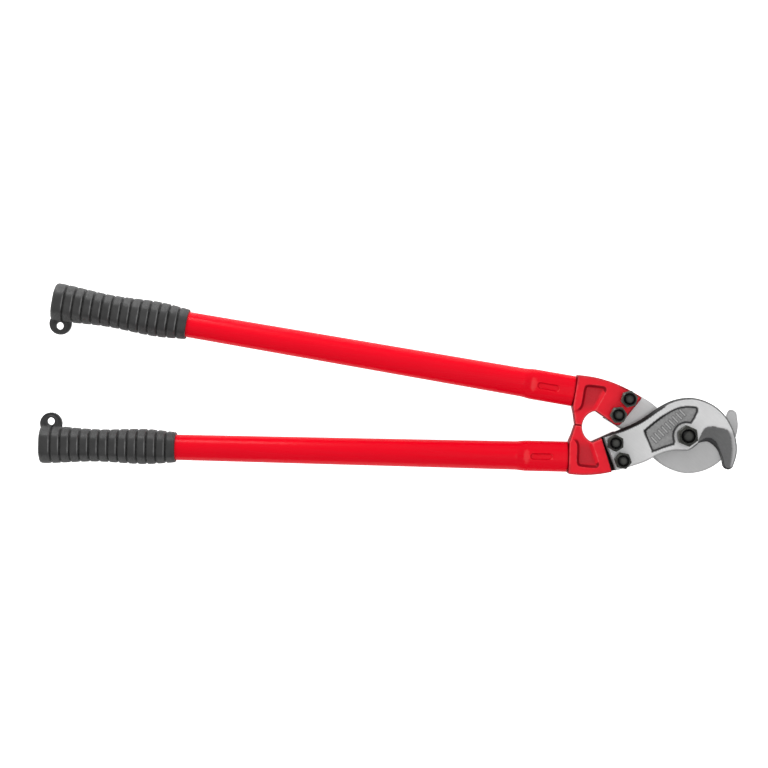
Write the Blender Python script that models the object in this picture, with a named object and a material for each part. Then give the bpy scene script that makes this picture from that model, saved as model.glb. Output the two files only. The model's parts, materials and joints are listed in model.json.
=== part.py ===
"""Long-handled cable cutter, closed: two hooked shear blades that pass on one pivot bolt.

Each blade is bolted to a forged socket, whose tang sits in a steel tube that ends in a rubber grip.
Both halves are the same, and the lower one is the upper one turned half round the tool's long axis.

Lengths are in millimetres in this file and become metres where a mesh or a place is made.
The tool's frame: the pivot's axis is Z and the jaws point along +X. Height 0 of the object is the
outer face of the pivot bolt's head, and MID_HEIGHT is the plane in which the two blades slide.
"""

import math

import bmesh
import bpy

MM = 0.001
GAP = 0.3  # clearance between pieces that touch

BLADE_THICKNESS = 9.0
SOCKET_HALF_THICKNESS = 10.0
PANEL_DEPTH = 1.0
POCKET_DEPTH = 3.0
EDGE_BREAK = 0.8  # chamfer round the outlines
BOSS_RADIUS = 11.0
CREASE_HEIGHT = 4.2  # where the mouth's wide slope meets the steep one
EDGE_HEIGHT = 1.0
SLOPE_RUNS_ON = 0.6  # share by which each slope of the mouth's cutter runs on past its end
STEP_LINE = ((-76.0, 0.5), (-58.5, 42.6))  # shoulder between a socket's collar and its lug
WINDOW_CENTRE = (-75.6, 0.0)
WINDOW_RADIUS = 14.0

PIVOT_THREAD = 10.0
PIVOT_FLATS = 16.0
PIVOT_HEAD = 6.4
PIVOT_NUT = 10.0
CLAMP_THREAD = 8.0
CLAMP_FLATS = 13.0
CLAMP_HEAD = 5.3
CLAMP_NUT = 8.0
COLLAR_HEIGHT = 1.4  # round part of a lock nut, above its hexagon
INSERT_DEPTH = 2.2
THREAD_STANDS_OUT = 0.6
CHAMFER_SLOPE = math.tan(math.radians(30))
BEARING_SHARE = 0.95  # share of a hexagon's flats that lies inside its chamfer
BOLT_CHAMFER_SHARE = 0.1  # share of a thread's diameter
INSERT_WIDTH = 1.5  # radial room for the nylon ring in a lock nut
COLLAR_WALL = 0.6

CLAMP_PLACES = ((-52.7, 26.5), (-60.5, 12.1))  # the two bolts through the upper lug
NUT_TURNS = {"upper": (20, 10), "lower": (55, 37)}  # degrees, as they were tightened
PIVOT_NUT_TURN = 42

SPLAY = math.atan(0.074)  # a tube's angle to the tool's long axis
TUBE_START = (-98.5, 28.3)  # where the upper tube's centre line leaves the socket
TUBE_LENGTH = 448.0
TUBE_WALL = 2.0
FLAT_END = 36.0  # length of tube that is pressed oval over the tang
ROUND_FROM = 46.0
OVAL_HALF = (13.1, 9.6)
ROUND_RADIUS = (12.3, 11.0)  # after the oval end, and at the grip
TANG_START = -6.0  # inside the socket
TANG_LENGTH = 33.0
TANG_TAPER_LENGTH = 2.0
TANG_TAPER_DEPTH = 1.5
DIMPLE_SPAN = (13.5, 32.6)
DIMPLE_WIDTH = 5.0
DIMPLE_DEPTH = 1.0

GRIP_START = 338.0
GRIP_LENGTH = 117.0
GRIP_END_WALL = 5.5
RIDGES = 14
RIDGE_DEPTH = 0.8
RIDGE_TOP = (0.16, 0.84)  # shares of the pitch between which a ridge has its full height
GRIP_LAST_RIDGE = 3.0  # room between the ridges and the grip's closed end
GRIP_END = ((1.2, 0.6), (0.0, 3.0))  # distance from the closed end, and how far the section draws in
GRIP_SQUARENESS = 2.8  # exponent of the grip's rounded section
GRIP_LEAST_HALF = 13.0
GRIP_SWELL = (  # distance along the grip, half width
    (0, GRIP_LEAST_HALF),
    (20, 14.9),
    (35, 15.1),
    (62, 14.0),
    (80, 14.4),
    (103, 16.0),
    (GRIP_LENGTH, 16.5),
)
GRIP_DEPTH_SHARE = 0.6  # share of the swell beyond GRIP_LEAST_HALF that the depth has too
LUG_CENTRE = (108.2, 18.0)  # from the grip's start, and from the tube's centre line
LUG_RADIUS = 9.6
LUG_THICKNESS = 5.0
LUG_ROOT = 11.0  # where its plate ends inside the sleeve, from the tube's centre line
LUG_HOLE = 3.2  # radius
LUG_HOLE_CENTRE = (108.2, 20.0)

HEX_STEPS = 18
BORE_STEPS = 36
SECTION_STEPS = 24

MID_HEIGHT = BLADE_THICKNESS + 1.5 * GAP + PIVOT_HEAD


# ---------------------------------------------------------------- outlines


def between(p, q, r, s, t):
    """Value at share t of the way from q to r, on the Catmull-Rom curve through p, q, r and s."""
    bend = 2 * p - 5 * q + 4 * r - s
    twist = 3 * q - p - 3 * r + s
    return 0.5 * (2 * q + (r - p) * t + bend * t**2 + twist * t**3)


def smooth(points, steps=3):
    """A smooth stretch through the points, ending on the last one."""
    ends = [points[0], *points, points[-1]]
    found = []
    for span in zip(ends, ends[1:], ends[2:], ends[3:]):
        for step in range(steps):
            found.append(tuple(between(*values, step / steps) for values in zip(*span)))
    return found + [tuple(points[-1])]


def arc(centre, radius, start, end, steps):
    """Points on an arc, with its angles in degrees."""
    angles = (math.radians(start + (end - start) * i / steps) for i in range(steps + 1))
    return [(centre[0] + radius * math.cos(a), centre[1] + radius * math.sin(a)) for a in angles]


def circle(centre, radius, steps):
    return arc(centre, radius, 0, 360, steps)[:-1]


def outline(*stretches):
    """One loop, anticlockwise, of stretches that follow each other."""
    loop = []
    for stretch in stretches:
        for point in stretch:
            if not loop or math.dist(point, loop[-1]) > 0.05:
                loop.append(point)
    if math.dist(loop[0], loop[-1]) < 0.05:
        loop.pop()
    area = sum(a[0] * b[1] - b[0] * a[1] for a, b in zip(loop, loop[1:] + loop[:1]))
    return loop if area > 0 else loop[::-1]


def inset(loop, distance):
    """The loop moved inwards, each point along the mean of its two sides' normals."""
    moved = []
    for before, here, after in zip(loop[-1:] + loop, loop, loop[1:] + loop[:1]):
        along = (after[0] - before[0], after[1] - before[1])
        length = math.hypot(*along)
        moved.append((here[0] - distance * along[1] / length, here[1] + distance * along[0] / length))
    return moved


def blade_outline():
    """Blade face seen from outside: tang at the left, hook at the right, cutting edge below."""
    tang_end = [(-71.5, -8.0), (-57.4, -35.8)]
    belly = [(-57.4, -35.8), (-46.6, -31.8), (-33, -25.8), (-23, -19.2), (-11, -14.2), (2.8, -12.8)]
    throat = [(2.8, -12.8), (6.1, -10.5), (10.4, -6.4)]
    mouth = [(10.4, -6.4), (15.8, -4.1), (21.0, -4.0), (27.7, -8.7), (31.8, -15.4), (34.2, -22.9)]
    tip = [(34.2, -22.9), (36.2, -25.1), (39.1, -25.5), (42.1, -23.6)]
    back = [(42.1, -23.6), (44.5, -12.0), (42.8, -1.0), (38.4, 9.5), (31.2, 20.0), (19.0, 29.4)]
    crown = [(19.0, 29.4), (4.0, 32.6), (-11.5, 29.8), (-25.0, 22.0)]
    heel = [(-41.0, 8.6), (-58.3, -1.4), (-71.5, -8.0)]
    return outline(
        tang_end,
        smooth(belly),
        smooth(throat, 2),
        smooth(mouth),
        smooth(tip, 2),
        smooth(back),
        smooth(crown + heel),
    )


def panel_outline():
    """Sunk panel of the blade's face, which bends round the pivot's boss."""
    lower_edge = [(-36.8, 0.7), (-28.6, -15.2), (-26.8, -16.2), (-18.7, -12.2), (-10.0, -8.6)]
    boss = arc((0, 0), BOSS_RADIUS, 208, 76, 9)
    upper_edge = [(2.7, 10.7), (5.4, 16.3), (7.2, 22.8), (3.6, 25.4), (-9.6, 23.1), (-22.9, 14.2)]
    return outline(smooth(lower_edge, 2), boss, smooth([*upper_edge, lower_edge[0]]))


def socket_outline():
    """Upper socket: the collar at the left, the lug at the right, the stop arm pointing down."""
    top = [(-97.6, 41.4), (-96.0, 42.6), (-83.5, 42.2), (-69.5, 39.8), (-55.0, 35.2), (-43.4, 30.0)]
    lug_nose = [(-43.4, 30.0), (-41.8, 28.7), (-42.0, 27.0)]
    lug_heel = [(-56.6, 4.9), (-58.6, 3.0), (-61.6, 3.3)]
    window = arc(WINDOW_CENTRE, WINDOW_RADIUS, 106, 179.4, 8)
    arm = [(-95.6, GAP / 2), (-97.6, 9.0), (-99.4, 15.4)]
    return outline(smooth(top), smooth(lug_nose, 2), smooth(lug_heel, 2), window, arm)


def pocket_outline():
    """Sunk pocket in both faces of a socket."""
    rim = [(-91.2, 32.4), (-89.8, 34.6), (-84.0, 35.6), (-76.5, 35.2), (-73.2, 32.6), (-73.4, 29.4)]
    foot = [(-73.4, 29.4), (-79.6, 18.4), (-86.0, 16.0), (-91.4, 16.6), (-92.6, 20.0), (-91.2, 32.4)]
    return outline(smooth(rim, 2), smooth(foot, 2))


# ---------------------------------------------------------------- meshes


def loft(rings, closed=False):
    """A closed mesh through rings of equal count: capped at both ends, or its last ring joined to its first."""
    shape = bmesh.new()
    loops = [[shape.verts.new([MM * value for value in point]) for point in ring] for ring in rings]
    following = loops[1:] + loops[:1] if closed else loops[1:]
    for ring, other in zip(loops, following):
        for i, corner in enumerate(ring):
            shape.faces.new((corner, ring[i - 1], other[i - 1], other[i]))
    if not closed:
        shape.faces.new(loops[0])
        shape.faces.new(loops[-1])
    bmesh.ops.recalc_face_normals(shape, faces=shape.faces)
    mesh = bpy.data.meshes.new("shape")
    shape.to_mesh(mesh)
    shape.free()
    return mesh


def at_height(loop, height):
    return [(x, y, height) for x, y in loop]


def prism(loop, low, high):
    return loft([at_height(loop, low), at_height(loop, high)])


def combined(body, other, operation):
    """The body's mesh with the other mesh cut from it or joined to it."""
    holder = bpy.data.objects.new("holder", body)
    partner = bpy.data.objects.new("partner", other)
    for piece in (holder, partner):
        bpy.context.scene.collection.objects.link(piece)
    boolean = holder.modifiers.new("join_or_cut", "BOOLEAN")
    boolean.operation = operation
    boolean.object = partner
    mesh = bpy.data.meshes.new_from_object(holder.evaluated_get(bpy.context.evaluated_depsgraph_get()))
    for piece in (holder, partner):
        bpy.data.objects.remove(piece)
    return mesh


def cut(body, *cutters):
    for cutter in cutters:
        body = combined(body, cutter, "DIFFERENCE")
    return body


def turned(profile, steps=HEX_STEPS):
    """Rings of a turned piece: its profile is (radius, height), and a radius may depend on the angle."""
    angles = [math.tau * i / steps for i in range(steps)]
    rings = []
    for radius, height in profile:
        ring = []
        for angle in angles:
            r = radius(angle) if callable(radius) else radius
            z = height(r) if callable(height) else height
            ring.append((r * math.cos(angle), r * math.sin(angle), z))
        rings.append(ring)
    return rings


def hexagon(flats):
    """Radius of a hexagon's edge at each angle, with a corner at angle 0."""
    return lambda angle: flats / 2 / math.cos(angle % math.radians(60) - math.radians(30))


def mouth_grind():
    """What is ground away above the cutting edge: a wide slope, then a steeper one at the edge.

    Each section runs from the face's border, through the line where the slope changes, to the edge.
    """
    border = [(10.2, -2.0), (16.6, 8.8), (25.0, 10.4), (35.4, 8.0), (39.2, -1), (40.6, -13), (40, -27)]
    crease = [(10.4, -5), (15.6, -0.6), (21.5, 0.4), (27.4, -3.2), (30.8, -9.8), (33.6, -17), (36.6, -28)]
    edge = [(10.2, -6.6), (15.4, -4.3), (21, -4), (26.6, -7.6), (30.6, -12.6), (32.9, -18), (35, -28)]
    above = 2 * BLADE_THICKNESS
    sections = []
    for top, fold, foot in zip(smooth(border), smooth(crease), smooth(edge)):
        top = (*top, BLADE_THICKNESS)
        fold = (*fold, CREASE_HEIGHT)
        foot = (*foot, EDGE_HEIGHT)
        start = [a + SLOPE_RUNS_ON * (a - b) for a, b in zip(top, fold)]
        end = [b + SLOPE_RUNS_ON * (b - a) for a, b in zip(fold, foot)]
        sections.append([start, fold, end, (*end[:2], above), (*start[:2], above)])
    return loft(sections)


def blade_mesh():
    """Blade with its sliding face down: the front blade as it lies in the tool."""
    loop = blade_outline()
    low = GAP / 2
    high = low + BLADE_THICKNESS
    broken = inset(loop, EDGE_BREAK)
    body = loft([at_height(loop, low), at_height(loop, high - EDGE_BREAK), at_height(broken, high)])
    past = 2 * high
    holes = [prism(circle((x, -y), CLAMP_THREAD / 2 + GAP, HEX_STEPS), -1, past) for x, y in CLAMP_PLACES]
    pivot_hole = prism(circle((0, 0), PIVOT_THREAD / 2 + GAP, BORE_STEPS), -1, past)
    panel = prism(panel_outline(), high - PANEL_DEPTH, past)
    return cut(body, mouth_grind(), panel, pivot_hole, *holes)


def socket_mesh():
    """Upper socket: full thickness at the collar, half of it at the lug, and a tang for the tube."""
    loop = socket_outline()
    broken = inset(loop, EDGE_BREAK)
    half = SOCKET_HALF_THICKNESS
    shoulder = half - EDGE_BREAK
    body = loft(
        [
            at_height(broken, -half),
            at_height(loop, -shoulder),
            at_height(loop, shoulder),
            at_height(broken, half),
        ]
    )
    past = 2 * half
    beyond_lug = 0.0
    seat_corners = [STEP_LINE[0], (beyond_lug, STEP_LINE[0][1]), (beyond_lug, STEP_LINE[1][1]), STEP_LINE[1]]
    seat = prism(seat_corners, -past, GAP / 2)
    pockets = [
        prism(pocket_outline(), half - POCKET_DEPTH, past),
        prism(pocket_outline(), -past, POCKET_DEPTH - half),
    ]
    holes = [prism(circle(place, CLAMP_THREAD / 2 + GAP, HEX_STEPS), -1, past) for place in CLAMP_PLACES]
    body = cut(body, seat, *pockets, *holes)
    tang_half = [value - TUBE_WALL - GAP for value in OVAL_HALF]
    tip_half = [value - TANG_TAPER_DEPTH for value in tang_half]
    rings = [
        along_handle(oval(tang_half), TANG_START),
        along_handle(oval(tang_half), TANG_LENGTH - TANG_TAPER_LENGTH),
        along_handle(oval(tip_half), TANG_LENGTH),
    ]
    return combined(body, loft([[in_tool(point) for point in ring] for ring in rings]), "UNION")


def in_tool(point):
    """A point of the upper handle's own frame, in the tool's frame."""
    along, across, height = point
    turn = math.pi - SPLAY
    return (
        TUBE_START[0] + along * math.cos(turn) - across * math.sin(turn),
        TUBE_START[1] + along * math.sin(turn) + across * math.cos(turn),
        height,
    )


def oval(halves, squareness=2.0):
    """A handle's section: a superellipse, which is a plain ellipse at squareness 2."""
    power = 2 / squareness
    angles = (math.tau * i / SECTION_STEPS for i in range(SECTION_STEPS))
    return [
        tuple(
            half * math.copysign(abs(share) ** power, share)
            for half, share in zip(halves, (math.cos(angle), math.sin(angle)))
        )
        for angle in angles
    ]


def along_handle(section, distance):
    """A section (across, height) as a ring at a distance along the handle."""
    return [(distance, across, height) for across, height in section]


def tube_halves(distance):
    """Half width and half depth of the tube at a distance along it."""
    taper = min(1, max(0, distance - ROUND_FROM) / (GRIP_START - ROUND_FROM))
    round_radius = ROUND_RADIUS[0] + taper * (ROUND_RADIUS[1] - ROUND_RADIUS[0])
    roundness = min(1, max(0, distance - FLAT_END) / (ROUND_FROM - FLAT_END))
    return [oval_half + roundness * (round_radius - oval_half) for oval_half in OVAL_HALF]


def tube_mesh():
    """Tube: oval where it holds the tang, then round, with a staked dimple in each flat side."""
    stations = (GAP, FLAT_END, ROUND_FROM, GRIP_START, TUBE_LENGTH)
    outside = [along_handle(oval(tube_halves(s)), s) for s in stations]
    inside = [along_handle(oval([half - TUBE_WALL for half in tube_halves(s)]), s) for s in stations]
    body = loft(outside + inside[::-1], closed=True)
    start, end = DIMPLE_SPAN
    radius = DIMPLE_WIDTH / 2
    slot = outline(arc((start + radius, 0), radius, 90, 270, 5), arc((end - radius, 0), radius, -90, 90, 5))
    floor = OVAL_HALF[1] - DIMPLE_DEPTH
    return cut(body, prism(slot, floor, 2 * floor), prism(slot, -2 * floor, -floor))


def grip_half_width(distance):
    """Half width of the grip's ridges, by straight stretches between the stations of GRIP_SWELL."""
    for (a, low), (b, high) in zip(GRIP_SWELL, GRIP_SWELL[1:]):
        if distance <= b:
            return low + (high - low) * (distance - a) / (b - a)
    return GRIP_SWELL[-1][1]


def grip_mesh():
    """Sleeve with a blind bore for the tube, ring ridges outside, and an ear to hang the tool by."""
    pitch = (GRIP_LENGTH - GRIP_LAST_RIDGE) / RIDGES
    bore = [tube_halves(TUBE_LENGTH)[0] + GAP] * 2
    rings = [along_handle(oval(bore), GRIP_LENGTH - GRIP_END_WALL), along_handle(oval(bore), 0)]
    stations = [(0, RIDGE_DEPTH)]
    for ridge in range(RIDGES):
        start = ridge * pitch
        stations += [(start + share * pitch, 0) for share in RIDGE_TOP]
        if ridge < RIDGES - 1:
            stations.append((start + pitch, RIDGE_DEPTH))
    stations += [(GRIP_LENGTH - distance, depth) for distance, depth in GRIP_END]
    for distance, depth in stations:
        width = grip_half_width(distance)
        thickness = GRIP_LEAST_HALF + GRIP_DEPTH_SHARE * (width - GRIP_LEAST_HALF)
        rings.append(along_handle(oval([width - depth, thickness - depth], GRIP_SQUARENESS), distance))
    sleeve = loft(rings)
    half_plate = LUG_THICKNESS / 2
    along = LUG_CENTRE[0]
    neck = arc(LUG_CENTRE, LUG_RADIUS, 0, 180, 14)
    root = [(along - LUG_RADIUS, LUG_ROOT), (along + LUG_RADIUS, LUG_ROOT)]
    plate = prism(outline(neck, root), -half_plate, half_plate)
    hole = prism(circle(LUG_HOLE_CENTRE, LUG_HOLE, HEX_STEPS), -2 * LUG_THICKNESS, 2 * LUG_THICKNESS)
    return cut(combined(sleeve, plate, "UNION"), hole)


def bolt_mesh(thread, flats, head, grip):
    """Hexagon bolt, head down, with its head's outer face at height 0.

    Its grip is the length that it clamps, with the nut's own height.
    """
    edge = hexagon(flats)
    bearing = BEARING_SHARE * flats / 2
    chamfer = BOLT_CHAMFER_SHARE * thread
    shank = thread / 2
    end = head + GAP + grip + THREAD_STANDS_OUT
    profile = [
        (bearing, 0),
        (edge, lambda r: CHAMFER_SLOPE * max(0, r - bearing)),
        (edge, head),
        (shank, head),
        (shank, end - chamfer),
        (shank - chamfer, end),
    ]
    return loft(turned(profile))


def lock_nut_mesh(thread, flats, height):
    """Lock nut standing on height 0: a hexagon, a round collar and a seat for the insert."""
    edge = hexagon(flats)
    bearing = BEARING_SHARE * flats / 2
    bore = thread / 2 + GAP
    seat = thread / 2 + INSERT_WIDTH
    collar = seat + COLLAR_WALL
    hexagon_top = height - COLLAR_HEIGHT
    profile = [
        (bore, 0),
        (bearing, 0),
        (edge, lambda r: CHAMFER_SLOPE * max(0, r - bearing)),
        (edge, lambda r: hexagon_top - CHAMFER_SLOPE * max(0, r - bearing)),
        (collar, hexagon_top),
        (collar, height),
        (seat, height),
        (seat, height - INSERT_DEPTH),
        (bore, height - INSERT_DEPTH),
    ]
    return loft(turned(profile), closed=True)


def insert_mesh(thread, height):
    """Nylon ring that grips the thread, in the seat of its lock nut."""
    inner = thread / 2 + GAP
    outer = thread / 2 + INSERT_WIDTH - GAP
    low = height - INSERT_DEPTH + GAP
    high = height - GAP
    return loft(turned([(inner, low), (outer, low), (outer, high), (inner, high)]), closed=True)


# ---------------------------------------------------------------- materials and placing


def material(name, colour, roughness, metallic=0.0):
    found = bpy.data.materials.new(name)
    found.use_nodes = True
    shader = found.node_tree.nodes["Principled BSDF"]
    shader.inputs["Base Color"].default_value = (*colour, 1)
    shader.inputs["Roughness"].default_value = roughness
    shader.inputs["Metallic"].default_value = metallic
    return found


def place(name, mesh, finish, parent, location=(0, 0, 0), rotation=(0, 0, 0)):
    """One piece of the tool, under the empty of the half that it moves with."""
    piece = bpy.data.objects.new(name, mesh.copy())
    bpy.context.scene.collection.objects.link(piece)
    piece.data.materials.clear()
    piece.data.materials.append(finish)
    piece.data.shade_smooth()
    piece.data.set_sharp_from_angle(angle=math.radians(30))
    piece.parent = parent
    piece.location = [MM * value for value in location]
    piece.rotation_euler = rotation
    return piece


def half_empty(name, turn):
    """Empty on the pivot's axis, in the plane where the blades slide."""
    empty = bpy.data.objects.new(name, None)
    bpy.context.scene.collection.objects.link(empty)
    empty.location = (0, 0, MM * MID_HEIGHT)
    empty.rotation_euler = (turn, 0, 0)
    return empty


def main():
    for old in list(bpy.data.objects):
        bpy.data.objects.remove(old)

    red_paint = material("tube_red_gloss", (0.82, 0.005, 0.02), 0.25)
    cast_red = material("socket_red_cast", (0.75, 0.015, 0.035), 0.45)
    rubber = material("grip_rubber", (0.04, 0.04, 0.042), 0.7)
    steel = material("blade_ground_steel", (0.62, 0.62, 0.62), 0.35, 1.0)
    black_steel = material("fastener_black_oxide", (0.035, 0.036, 0.036), 0.4, 0.8)
    nylon = material("insert_nylon", (0.01, 0.01, 0.01), 0.5)

    upper = half_empty("upper_half", 0)
    lower = half_empty("lower_half", math.pi)

    meshes = {"blade": blade_mesh(), "socket": socket_mesh(), "tube": tube_mesh(), "grip": grip_mesh()}
    tube_turn = (0, 0, math.pi - SPLAY)
    grip_place = in_tool((GRIP_START, 0, 0))
    for side, half, blade_name in (("upper", upper, "blade_rear"), ("lower", lower, "blade_front")):
        place(blade_name, meshes["blade"], steel, half, rotation=(math.pi, 0, 0))
        place(f"socket_{side}", meshes["socket"], cast_red, half)
        place(f"tube_{side}", meshes["tube"], red_paint, half, (*TUBE_START, 0), tube_turn)
        place(f"grip_{side}", meshes["grip"], rubber, half, grip_place, tube_turn)

    clamped = BLADE_THICKNESS + GAP / 2 + SOCKET_HALF_THICKNESS  # blade, seat and lug
    clamp_bolt = bolt_mesh(CLAMP_THREAD, CLAMP_FLATS, CLAMP_HEAD, clamped + GAP + CLAMP_NUT)
    clamp_nut = lock_nut_mesh(CLAMP_THREAD, CLAMP_FLATS, CLAMP_NUT)
    clamp_insert = insert_mesh(CLAMP_THREAD, CLAMP_NUT)
    blade_face = BLADE_THICKNESS + GAP / 2
    stacks = {"upper": (-blade_face, SOCKET_HALF_THICKNESS), "lower": (-SOCKET_HALF_THICKNESS, blade_face)}
    for side, half, flip in (("upper", upper, 1), ("lower", lower, -1)):
        back, front = stacks[side]
        turn_over = 0 if flip == 1 else math.pi
        for label, (x, y), turn in zip(("outer", "inner"), CLAMP_PLACES, NUT_TURNS[side]):
            # Nuts are on the front of both halves, so the lower half's are turned back over.
            rotation = (turn_over, 0, flip * math.radians(turn))
            head_face = back - GAP - CLAMP_HEAD
            nut_seat = front + GAP
            place(f"{side}_bolt_{label}", clamp_bolt, black_steel, half, (x, y, flip * head_face), rotation)
            place(f"{side}_nut_{label}", clamp_nut, black_steel, half, (x, y, flip * nut_seat), rotation)
            place(f"{side}_insert_{label}", clamp_insert, nylon, half, (x, y, flip * nut_seat), rotation)

    pivot_grip = 2 * BLADE_THICKNESS + 2 * GAP + PIVOT_NUT
    pivot_turn = (math.pi, 0, -math.radians(PIVOT_NUT_TURN))
    pivot_seat = blade_face + GAP
    pivot_nut = lock_nut_mesh(PIVOT_THREAD, PIVOT_FLATS, PIVOT_NUT)
    pivot_bolt = bolt_mesh(PIVOT_THREAD, PIVOT_FLATS, PIVOT_HEAD, pivot_grip)
    place("pivot_bolt", pivot_bolt, black_steel, lower, (0, 0, MID_HEIGHT), pivot_turn)
    place("pivot_nut", pivot_nut, black_steel, lower, (0, 0, -pivot_seat), pivot_turn)
    place("pivot_insert", insert_mesh(PIVOT_THREAD, PIVOT_NUT), nylon, lower, (0, 0, -pivot_seat), pivot_turn)


main()
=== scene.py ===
"""Looks of a long-handled cable cutter: fine surfaces and finishes around its fixed frame.

Shapes are worked out in millimetres in the tool's own frame: the pivot's axis is Z, the jaws point
along +X, and height 0 is the plane in which the two blades slide. Both halves of the tool are alike,
so each shape is made once, and the other half's is turned half round the X axis.
"""

import json
import math

import bpy
import numpy as np
from bpy.props import FloatProperty, FloatVectorProperty, IntProperty, PointerProperty
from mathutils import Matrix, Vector
from mathutils.geometry import delaunay_2d_cdt


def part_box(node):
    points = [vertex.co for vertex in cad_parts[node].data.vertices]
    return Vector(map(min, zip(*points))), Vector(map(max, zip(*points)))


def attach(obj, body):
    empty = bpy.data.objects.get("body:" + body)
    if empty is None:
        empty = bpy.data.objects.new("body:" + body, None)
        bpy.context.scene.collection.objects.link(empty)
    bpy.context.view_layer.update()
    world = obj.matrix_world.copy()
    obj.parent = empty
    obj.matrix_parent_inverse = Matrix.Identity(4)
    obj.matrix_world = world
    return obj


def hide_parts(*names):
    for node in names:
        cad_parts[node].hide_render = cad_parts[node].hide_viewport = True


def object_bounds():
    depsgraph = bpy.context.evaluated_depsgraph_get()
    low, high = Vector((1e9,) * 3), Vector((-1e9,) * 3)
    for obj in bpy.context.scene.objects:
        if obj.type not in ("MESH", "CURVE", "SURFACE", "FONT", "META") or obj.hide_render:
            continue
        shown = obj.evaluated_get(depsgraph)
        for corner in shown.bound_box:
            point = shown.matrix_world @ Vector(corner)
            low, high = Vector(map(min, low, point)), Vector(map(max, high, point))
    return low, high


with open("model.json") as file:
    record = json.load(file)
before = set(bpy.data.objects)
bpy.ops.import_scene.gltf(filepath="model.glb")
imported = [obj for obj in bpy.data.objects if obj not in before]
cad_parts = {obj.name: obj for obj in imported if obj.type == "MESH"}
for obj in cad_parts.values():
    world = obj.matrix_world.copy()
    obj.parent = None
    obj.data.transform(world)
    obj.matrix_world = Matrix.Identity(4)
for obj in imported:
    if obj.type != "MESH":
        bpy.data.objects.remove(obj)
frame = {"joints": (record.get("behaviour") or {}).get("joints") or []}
CAD_BOX = [list(corner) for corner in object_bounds()]

bl_info = {
    "name": "Long-handled cable cutter",
    "version": (1, 0, 0),
    "blender": (4, 5, 0),
    "location": "3D View > Sidebar > Cutter",
    "description": "Builds the surfaces, finishes and stage of a cable cutter around its frame",
    "category": "Object",
}

MM = 0.001
GAP = 0.3  # clearance between pieces that touch
MID_HEIGHT = frame["joints"][0]["pos_m"][2] / MM

BLADE_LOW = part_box("blade_front")[0].z / MM - MID_HEIGHT
BLADE_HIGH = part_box("blade_front")[1].z / MM - MID_HEIGHT
SOCKET_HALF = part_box("socket_upper")[1].z / MM - MID_HEIGHT
PANEL_DEPTH = 1.0
POCKET_DEPTH = 3.0
BOSS_RADIUS = 11.0
SMALL_EDGE = 0.3  # rounding of sharp edges: the sliding face's and the bars'
GRID_STEP = 1.1  # spacing of the points inside a plate's faces

PIVOT_THREAD = 10.0
PIVOT_FLATS = 16.0
PIVOT_HEAD = 6.4
PIVOT_NUT = 10.0
CLAMP_THREAD = 8.0
CLAMP_FLATS = 13.0
CLAMP_HEAD = 5.3
CLAMP_NUT = 8.0
COLLAR_HEIGHT = 1.4
INSERT_DEPTH = 2.2
INSERT_WIDTH = 1.2
COLLAR_WALL = 0.55
BEARING_SHARE = 0.95  # share of a hexagon's flats that lies inside its chamfer
THREADED = 14.0  # length of a bolt's thread
THREAD_DEPTH_SHARE = 0.54  # depth of a thread over its pitch
THREAD_STANDS_OUT = 0.6
CLAMP_PLACES = ((-52.7, 26.5), (-60.5, 12.1))  # outer and inner bolt of the upper half
NUT_TURNS = {"upper": (20, 10), "lower": (55, 37)}
PIVOT_NUT_TURN = 42
CLAMP_RIM_GLINT = {"upper": 1.0, "lower": 0.45}  # how bright the painted highlight on the rims of each pair of nuts and bolt heads is
# How bright the painted highlight on the rims of the pivot's nut and bolt head is.
PIVOT_RIM_GLINT = 0.7

SPLAY = math.atan(0.074)  # each handle's lean away from the X axis
TUBE_START = (-98.5, 28.3)
TUBE_LENGTH = 448.0
TUBE_WALL = 2.0
FLAT_END = 36.0  # the pressed oval ends here
ROUND_FROM = 46.0  # and the tube is round from here
OVAL_HALF = (13.1, 9.6)
OVAL_POWER = 2.35  # squareness of the pressed oval; 2 is an ellipse
FINE_UNTIL = 52.0  # the tube's sections stand close together up to here
ROUND_RADIUS = (12.3, 11.0)  # where the round tube starts, and inside the grip
TANG_LENGTH = 33.0
DIMPLE_SPAN = (13.5, 32.6)
DIMPLE_WIDTH = 5.0

GRIP_START = 338.0
GRIP_LENGTH = 117.0
GRIP_END_WALL = 5.5
RIDGES = 14
RIDGE_PITCH = (GRIP_LENGTH - 2.0) / RIDGES
GROOVE_SHARE = 0.14  # share of a ridge's pitch that its steep side takes
RIDGE_CROWN = 0.18  # how far a ridge's ends fall below its middle
MOUTH_ROUND = 0.9
GRIP_LEAST_HALF = 13.0
GRIP_SWELL = ((0, 13.0), (20, 14.9), (35, 15.1), (62, 14.0), (80, 14.4), (103, 16.0), (117, 16.5))
GRIP_DEPTH_SHARE = 0.6  # how much of the swell the grip's depth follows
GRIP_CORNERS = 15.0  # power norm of the grip's section; a higher one has sharper corners
EAR_CENTRE = (108.2, 18.0)
EAR_RADIUS = 9.6
EAR_THICKNESS = 5.0
EAR_HOLE_CENTRE = (108.2, 20.0)
EAR_HOLE = 3.2

SMOOTH_ANGLE = math.radians(34)  # edges sharper than this stay sharp

MIDDLE = (CAD_BOX[0][0] + CAD_BOX[1][0]) / 2
LIGHTS = (  # name, setting of its power, place, size and aim in metres, and whether reflections show it
    ("top_light", "top_power", (0.5, -0.05, 2.0), (1.35, 0.9), (0.1, 0, 0), True),
    ("side_light", "side_power", (MIDDLE, 1.1, 1.1), (2.0, 0.6), (MIDDLE, 0, 0), False),
    ("low_strip", "strip_power", (MIDDLE, 1.35, 0.12), (2.6, 0.3), (MIDDLE, 0, 0.02), False),
    ("grip_light", "grip_power", (-0.62, 0.5, 0.3), (0.4, 0.22), (-0.5, 0.03, 0.02), True),
)
FLOOR_HALF = 2.0  # metres
FLOOR_DROP = 0.0002  # metres below the tool


# ------------------------------------------------------------------ lines in the plane


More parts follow.
